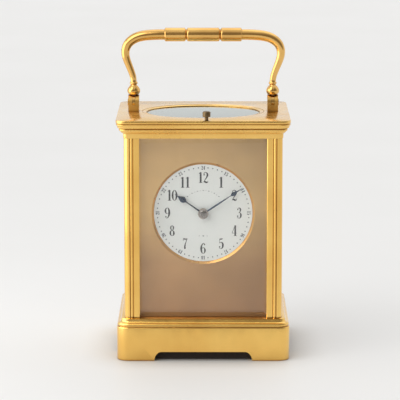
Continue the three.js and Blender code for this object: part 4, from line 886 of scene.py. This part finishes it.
def make_pivots():
    low, high = box_mm("handle_pivot_right")
    length = high.x - low.x - 0.5
    end = length - PIVOT["head_height"]
    shank = lathe([(0, 0), (PIVOT["shank"], 0), (PIVOT["shank"], end), (0, end)], 32)
    shape = joined(shank, moved(screw(PIVOT["head"], PIVOT["head_height"], 0.4), (0, 0, end)))
    for side, sign in SIDES:
        turn = Matrix.Rotation(sign * TURN / 4, 4, "Y") @ Matrix.Rotation(0.5 + sign, 4, "Z")
        place = (sign * low.x, (low.y + high.y) / 2, PIVOT_Z)
        shown = moved(shape, place, turn)
        piece(f"{side}_pivot_screw", shown, "post_gilt", replaces=[f"handle_pivot_{side}"])


# ---- small turned pieces ------------
def make_button():
    head = BUTTON_LOW.z
    top = BUTTON.z
    radius = (BUTTON.x - BUTTON_LOW.x) / 2
    profile = [
        (0, head), (1.0, head), (1.0, top - 3.15), (radius - 0.3, top - 3.1), (radius, top - 2.8),
        (radius, top - 0.6), (radius - 0.12, top - 0.3), (radius - 0.5, top - 0.08),
        (radius - 1.2, top), (0, top),
    ]
    shape = moved(lathe(profile, 40), (BUTTON_AT.x, BUTTON_AT.y, 0))
    piece("button", shape, "button", "repeat_button", ["repeat_button"])


def make_knob():
    profile = [(0, 0), (1.5, 0), (1.55, 0.35), (1.2, 0.6), (0.8, 0.9), (0.75, 1.7), (1.2, 2.1),
               (1.75, 2.7), (2.0, 3.4), (1.85, 4.2), (1.3, 4.75), (0.6, 4.98), (0, 5.0)]
    shape = moved(lathe(profile, 40), (KNOB_AT.x, KNOB_LOW.y, KNOB_AT.z), ALONG_Y)
    piece("knob", shape, "gilt", "door", ["door_knob"])


def screw(radius, height, slot=0.35):
    """A cheese-head screw's head standing along +Z, with its slot cut along X."""
    profile = [(0, 0), (radius, 0), (radius, height * 0.8), (radius * 0.86, height), (0, height)]
    head = object_from("screw", *lathe(profile, 28))
    carve(head, cuboid((-radius - 1, -slot / 2, height * 0.45), (radius + 1, slot / 2, height + 1)))
    vertices = [v.co / MM for v in head.data.vertices]
    faces = [tuple(p.vertices) for p in head.data.polygons]
    bpy.data.objects.remove(head)
    return vertices, faces


# ---- dial ------------
DIAL_SIGHT = 27.05
MASK_BEVEL = 1.25
DOME_RISE = 0.55
DIAL_EDGE = 28.55
DIAL_HOLE = 2.6
NUMERAL = {"radius": 19.75, "height": 5.9, "pitch": 0.47, "weight": 1.22, "upright": True}
SMALL_NUMERAL = {"radius": 25.1, "height": 2.0, "pitch": 0.55, "weight": 1.7, "upright": False}
DOT = {"radius": 25.2, "size": 0.33}
LOZENGES = {"radius": 12.6, "pitch": 7.2, "each_side": 6, "row_below": 12.8}
MASK_FRONT = MASK_LOW.y
MASK_BACK = MASK_LOW.y + 1.0
DIAL_FRONT = DIAL_LOW.y


def dome_y(radius):
    """Depth of the enamel's face at a distance from the dial's centre."""
    return DIAL_FRONT - DOME_RISE * (1 - (min(radius, DIAL_EDGE) / DIAL_EDGE) ** 2)


def dial_ring(radius, y, angles):
    """Points about the dial's centre, one at each angle."""
    return [(radius * math.cos(a), y, DIAL.z + radius * math.sin(a)) for a in angles]


def make_mask():
    panel = rounded(MASK.x, (MASK.z - MASK_LOW.z) / 2, 0.2, corner=2, side=24)
    middle = (MASK.z + MASK_LOW.z) / 2
    panel = [(x, z + middle) for x, z in panel]
    towards = [math.atan2(z - DIAL.z, x) for x, z in panel]
    mouth = DIAL_SIGHT + MASK_BEVEL
    rings = [
        [(x, MASK_FRONT, z) for x, z in panel],
        dial_ring(mouth + 0.08, MASK_FRONT, towards),
        dial_ring(mouth, MASK_FRONT + 0.06, towards),
        dial_ring(mouth, MASK_BACK, towards),
        [(x, MASK_BACK, z) for x, z in panel],
    ]
    piece("mask", loft(rings, closed=True), "satin", replaces=["dial_mask"])
    ring = [
        (mouth - 0.01, MASK_FRONT + 0.06), (DIAL_SIGHT + 0.1, MASK_BACK - 0.12),
        (DIAL_SIGHT, MASK_BACK), (mouth - 0.01, MASK_BACK),
    ]
    rings = [dial_ring(r, y, round_angles(160)) for r, y in ring]
    piece("mask_bevel", loft(rings, closed=True), "bevel_gilt")


def make_dial():
    radii = [DIAL_HOLE, 4, 7, 11, 15, 19, 22, 25, 27, 28.2, DIAL_EDGE]
    front = [(r, dome_y(r)) for r in radii]
    profile = [*front, (DIAL_EDGE, DIAL_FRONT + 0.8), (DIAL_HOLE, dome_y(0) + 1.2)]
    rings = [dial_ring(r, y, round_angles(128)) for r, y in profile]
    piece("dial", loft(rings, closed=True), "enamel", replaces=["dial_plate"])


def loop_stroke(centre, semi, thin, thick, steps=40):
    """An oval stroke, thick at its sides and thin at its top and foot."""
    return [
        (centre[0] + semi[0] * math.cos(a), centre[1] + semi[1] * math.sin(a),
         thin + (thick - thin) * math.cos(a) ** 2)
        for a in [TURN * i / steps for i in range(steps + 1)]
    ]


# strokes of each figure as (x, height, width), and balls as (x, height, radius), in figure heights
SIX = {
    "curves": [[
        (0.16, 0.85, 0.03), (0.08, 0.975, 0.035), (-0.07, 0.90, 0.07), (-0.175, 0.62, 0.125),
        (-0.185, 0.36, 0.135), (-0.12, 0.09, 0.08), (0.0, 0.018, 0.035), (0.12, 0.09, 0.08),
        (0.17, 0.30, 0.125), (0.11, 0.50, 0.075), (0.01, 0.57, 0.035), (-0.08, 0.52, 0.03),
        (-0.13, 0.42, 0.02),
    ]],
    "balls": [(0.125, 0.845, 0.055)],
}
FIGURES = {
    "0": {"loops": [loop_stroke((0, 0.5), (0.185, 0.48), 0.035, 0.135)]},
    "1": {"lines": [
        [(0, 0, 0.135), (0, 1, 0.135)], [(-0.17, 0.86, 0.03), (-0.04, 0.955, 0.06)],
        [(-0.17, 0.016, 0.032), (0.17, 0.016, 0.032)],
    ]},
    "2": {
        "curves": [[
            (-0.185, 0.76, 0.03), (-0.14, 0.93, 0.045), (0, 0.98, 0.045), (0.13, 0.88, 0.10),
            (0.155, 0.72, 0.125), (0.07, 0.50, 0.08), (-0.08, 0.27, 0.045), (-0.19, 0.06, 0.04),
        ], [
            (-0.19, 0.07, 0.05), (-0.08, 0.11, 0.11), (0.06, 0.05, 0.12), (0.17, 0.06, 0.05),
            (0.2, 0.2, 0.03),
        ]],
        "balls": [(-0.145, 0.76, 0.06)],
    },
    "3": {
        "curves": [[
            (-0.165, 0.83, 0.03), (-0.06, 0.975, 0.04), (0.08, 0.93, 0.09), (0.125, 0.78, 0.115),
            (0.06, 0.61, 0.055), (-0.04, 0.55, 0.03),
        ], [
            (-0.04, 0.55, 0.03), (0.09, 0.50, 0.06), (0.165, 0.31, 0.13), (0.11, 0.08, 0.09),
            (-0.02, 0.018, 0.04), (-0.14, 0.07, 0.03), (-0.18, 0.19, 0.03),
        ]],
        "balls": [(-0.125, 0.83, 0.055), (-0.135, 0.2, 0.06)],
    },
    "4": {"lines": [
        [(0.07, 0.98, 0.035), (-0.22, 0.27, 0.035)], [(-0.23, 0.27, 0.035), (0.21, 0.27, 0.035)],
        [(0.085, 1, 0.125), (0.085, 0, 0.125)], [(-0.05, 0.016, 0.032), (0.21, 0.016, 0.032)],
    ]},
    "5": {
        "lines": [[(-0.13, 0.97, 0.032), (-0.15, 0.55, 0.03)]],
        "curves": [
            [(-0.13, 0.93, 0.09), (0.0, 0.925, 0.10), (0.15, 0.975, 0.04)],
            [
                (-0.15, 0.55, 0.03), (-0.01, 0.625, 0.05), (0.12, 0.55, 0.10), (0.165, 0.33, 0.13),
                (0.10, 0.08, 0.085), (-0.03, 0.018, 0.04), (-0.14, 0.07, 0.03), (-0.18, 0.18, 0.03),
            ],
        ],
        "balls": [(-0.135, 0.19, 0.058)],
    },
    "6": SIX,
    "7": {
        "lines": [[(-0.185, 0.99, 0.035), (-0.185, 0.76, 0.03)]],
        "curves": [
            [(-0.19, 0.92, 0.05), (-0.1, 0.945, 0.1), (0.05, 0.92, 0.085), (0.19, 0.965, 0.05)],
            [(0.19, 0.965, 0.035), (0.07, 0.67, 0.05), (-0.02, 0.36, 0.09), (-0.05, 0.0, 0.135)],
        ],
    },
    "8": {"loops": [
        loop_stroke((0, 0.765), (0.125, 0.215), 0.035, 0.1),
        loop_stroke((0, 0.27), (0.165, 0.25), 0.035, 0.13),
    ]},
    "9": {
        "curves": [[(-x, 1 - z, w) for x, z, w in SIX["curves"][0]]],
        "balls": [(-x, 1 - z, r) for x, z, r in SIX["balls"]],
    },
}


def ribbon(stroke):
    """A flat stroke of changing width, as pairs of points on its two edges."""
    points = []
    for i, (x, z, width) in enumerate(stroke):
        before, after = stroke[max(i - 1, 0)], stroke[min(i + 1, len(stroke) - 1)]
        ahead = Vector((after[0] - before[0], after[1] - before[1])).normalized()
        points.append((
            (x - ahead.y * width / 2, z + ahead.x * width / 2),
            (x + ahead.y * width / 2, z - ahead.x * width / 2),
        ))
    return points


def figure_polygons(figure, weight):
    """Polygons of one figure in figure heights: quads along strokes and round balls."""
    parts = FIGURES[figure]
    strokes = [*parts.get("lines", []), *parts.get("loops", [])]
    strokes += [smooth_path(curve, 6) for curve in parts.get("curves", [])]
    polygons = []
    for stroke in strokes:
        edges = ribbon([(x, z, width * weight) for x, z, width in stroke])
        for (a, b), (c, d) in zip(edges, edges[1:]):
            polygons.append([a, b, d, c])
    for x, z, radius in parts.get("balls", []):
        polygons.append(arc((x, z), radius * (1 + weight) / 2, 0, 342, 19))
    return polygons


def figures_on_dial(text, size, angle):
    """Polygons of a number in dial coordinates, centred at `angle` degrees clockwise from twelve."""
    height = size["height"]
    turn = 0 if size["upright"] else -math.radians(angle)
    at = math.radians(angle)
    centre = Vector((size["radius"] * math.sin(at), size["radius"] * math.cos(at)))
    result = []
    for number, figure in enumerate(text):
        shift = (number - (len(text) - 1) / 2) * size["pitch"]
        for polygon in figure_polygons(figure, size["weight"]):
            points = []
            for x, z in polygon:
                px, pz = (x + shift) * height, (z - 0.5) * height
                points.append((
                    centre.x + px * math.cos(turn) - pz * math.sin(turn),
                    centre.y + px * math.sin(turn) + pz * math.cos(turn),
                ))
            result.append(points)
    return result


def painted(name, polygons, material, lift=0.02):
    """Thin fired paint that follows the enamel's dome."""
    vertices, faces = [], []
    for polygon in polygons:
        start = len(vertices)
        count = len(polygon)
        for depth in (lift, -0.02):
            vertices += [(x, dome_y(math.hypot(x, z)) - depth, DIAL.z + z) for x, z in polygon]
        faces.append(tuple(range(start, start + count)))
        faces.append(tuple(range(start + 2 * count - 1, start + count - 1, -1)))
        faces += [
            (start + i, start + (i + 1) % count, start + count + (i + 1) % count, start + count + i)
            for i in range(count)
        ]
    piece(name, (vertices, faces), material)


def hour_ring(size, more):
    """The twelve hour figures in their places, with `more` added to each hour."""
    return [
        polygon for hour in range(1, 13)
        for polygon in figures_on_dial(str(hour + more), size, 30 * hour)
    ]


def lozenge(x, z, half_x, half_z):
    return [(x - half_x, z), (x, z - half_z), (x + half_x, z), (x, z + half_z)]


def make_markings():
    painted("hour_figures", hour_ring(NUMERAL, 0), "numeral")
    fine = hour_ring(SMALL_NUMERAL, 12)
    for minute in range(60):
        if minute % 5:
            angle = math.radians(6 * minute)
            at = (DOT["radius"] * math.sin(angle), DOT["radius"] * math.cos(angle))
            fine.append(arc(at, DOT["size"], 0, 324, 9))
    radius = LOZENGES["radius"]
    for step in range(-LOZENGES["each_side"], LOZENGES["each_side"] + 1):
        angle = math.radians(step * LOZENGES["pitch"])
        size = 0.26 if step % 2 else 0.42
        fine.append(lozenge(radius * math.sin(angle), radius * math.cos(angle), size, size * 0.55))
    for x in (-2.2, 0, 2.2):
        size = 0.34 if x else 0.6
        fine.append(lozenge(x, -LOZENGES["row_below"], size, size / 2))
    painted("fine_marks", fine, "fine_mark", 0.015)


# ---- hands ------------
HOUR_BLADE = [
    (2.4, 0.42), (5, 0.38), (9, 0.32), (11.0, 0.30), (11.7, 0.6), (12.5, 1.3), (13.5, 1.68),
    (14.5, 1.5), (15.6, 0.85), (16.6, 0.42), (17.8, 0.22), (18.9, 0.1),
]
MINUTE_BLADE = [
    (2.2, 0.42), (6, 0.46), (10, 0.44), (14, 0.33), (17.8, 0.2), (18.5, 0.45), (19.4, 0.95), (20.3, 1.08),
    (21.2, 0.7), (22.2, 0.36), (24, 0.2), (26, 0.09),
]
HAND_BORE = 1.25
HAND_ANGLES = {"hour_hand": 304.7, "minute_hand": 56.4}  # degrees clockwise from twelve


def hand_shape(blade, front, back, eye):
    """A flat hand with a softly ridged back and a pierced eye, pointing to twelve."""
    middle = (front + back) / 2
    ridge = (back - front) * 0.5
    rings = [
        [
            (width, middle + ridge * 0.5, z), (0, back, z), (-width, middle + ridge * 0.5, z),
            (-width, middle - ridge * 0.2, z), (-width * 0.45, front, z), (width * 0.45, front, z),
            (width, middle - ridge * 0.2, z),
        ]
        for z, width in smooth_path(blade, 5)
    ]
    ring = [
        (eye, front + 0.05), (eye - 0.1, front), (HAND_BORE, front), (HAND_BORE, back), (eye, back),
    ]
    disc = [[(r * math.cos(a), y, r * math.sin(a)) for a in round_angles(48)] for r, y in ring]
    return joined(loft(rings), loft(disc, closed=True))


def make_hands():
    for name, blade, body, eye in (
        ("hour_hand", HOUR_BLADE, "hour_hand", 2.6), ("minute_hand", MINUTE_BLADE, "centre_arbor", 2.4),
    ):
        low, high = box_mm(name)
        shape = hand_shape(blade, low.y, high.y, eye)
        turn = Matrix.Rotation(math.radians(HAND_ANGLES[name]), 4, "Y")
        shape = moved(shape, (DIAL.x, 0, DIAL.z), turn)
        piece(f"{name}_blade", shape, "blued", body, [name])


def make_cap():
    """The domed cap over the hands' centre, on its stepped ring."""
    low, high = box_mm("hand_cap")
    radius = (high.x - low.x) / 2
    depth = high.y - low.y
    dome = radius * 0.76
    step = high.y - depth * 0.38
    profile = [(0, low.y)]
    profile += [
        (dome * math.sin(a), step - (step - low.y) * math.cos(a))
        for a in [TURN / 4 * i / 10 for i in range(1, 11)]
    ]
    profile += [
        (dome + 0.05, step + 0.14), (dome + 0.14, step + 0.14), (dome + 0.2, step),
        (radius - 0.12, step), (radius, step + 0.12), (radius, high.y), (0, high.y),
    ]
    rings = [dial_ring(max(r, 0.001), y, round_angles(56)) for r, y in profile]
    piece("cap", loft(rings), "cap_steel", "centre_arbor", ["hand_cap"])


# ---- the frame's own nodes ------------
NODE_LOOKS = {
    "glass": ["front_glass", "left_glass", "right_glass", "door_glass"],
    "gilt": ["door_frame"],
    "steel": [
        "repeat_lever", "cannon_pinion", "going_arbor", "strike_arbor", "escape_wheel",
        "pallet_lever", "hammer",
    ],
    "blued": ["going_mainspring", "strike_mainspring", "hairspring"],
    "silvered": ["platform"],
}
EDGE_SOFTENING = 0.08


def dress_nodes():
    looks = {node: look for look, nodes in NODE_LOOKS.items() for node in nodes}
    for name, node in frame["nodes"].items():
        if node.hide_render:
            continue
        node.data.materials.clear()
        node.data.materials.append(MATERIAL[looks.get(name, "brass")])
        if looks.get(name) != "glass":
            add_bevel(node, EDGE_SOFTENING, 1, 50)


# ---- gong and fastenings ------------
GONG = {"inner": 21.5, "outer": 27.5, "turns": 2.5, "wire": 0.9}


def make_gong():
    """The wire gong's coil, ending at the block below it."""
    low = box_mm("gong")[0]
    steps = 150
    path = []
    for i in range(steps + 1):
        angle = -TURN / 4 - GONG["turns"] * TURN * (1 - i / steps)
        radius = GONG["inner"] + (GONG["outer"] - GONG["inner"]) * i / steps
        path.append((radius * math.cos(angle), radius * math.sin(angle), GONG["wire"]))
    place = (0, centre_mm("gong").y, low.z + GONG["outer"] + GONG["wire"])
    piece("gong_coil", moved(tube(path, 12), place), "blued", replaces=["gong"])


def make_fastenings():
    back = box_mm("back_plate")[1].y
    head = screw(2.0, 1.2)
    shapes = []
    for node in ("lower_left", "lower_right", "upper_left", "upper_right"):
        at = centre_mm(f"movement_pillar_{node}")
        slant = Matrix.Rotation(at.x + at.z, 4, "Z")
        shapes.append(moved(head, (at.x, back, at.z), ALONG_Y @ slant))
    piece("back_plate_screws", joined(*shapes), "blued")
    low, high = box_mm("platform")
    small = screw(1.3, 0.9)
    inset = 2.4
    spots = [(x, y) for x in (low.x + inset, high.x - inset) for y in (low.y + inset, high.y - inset)]
    piece("platform_screws", joined(*[moved(small, (x, y, high.z)) for x, y in spots]), "blued")


make_camera()
make_studio()
make_lamps()
make_floor()
make_base()
make_base_shade_sheet()
make_pillars()
make_cornice()
make_top_glass()
make_bail()
make_grip()
make_knuckles()
make_posts()
make_pivots()
make_button()
make_knob()
make_mask()
make_dial()
make_markings()
make_hands()
make_cap()
make_gong()
dress_nodes()
make_fastenings()
SCENE.view_settings.view_transform = "Standard"
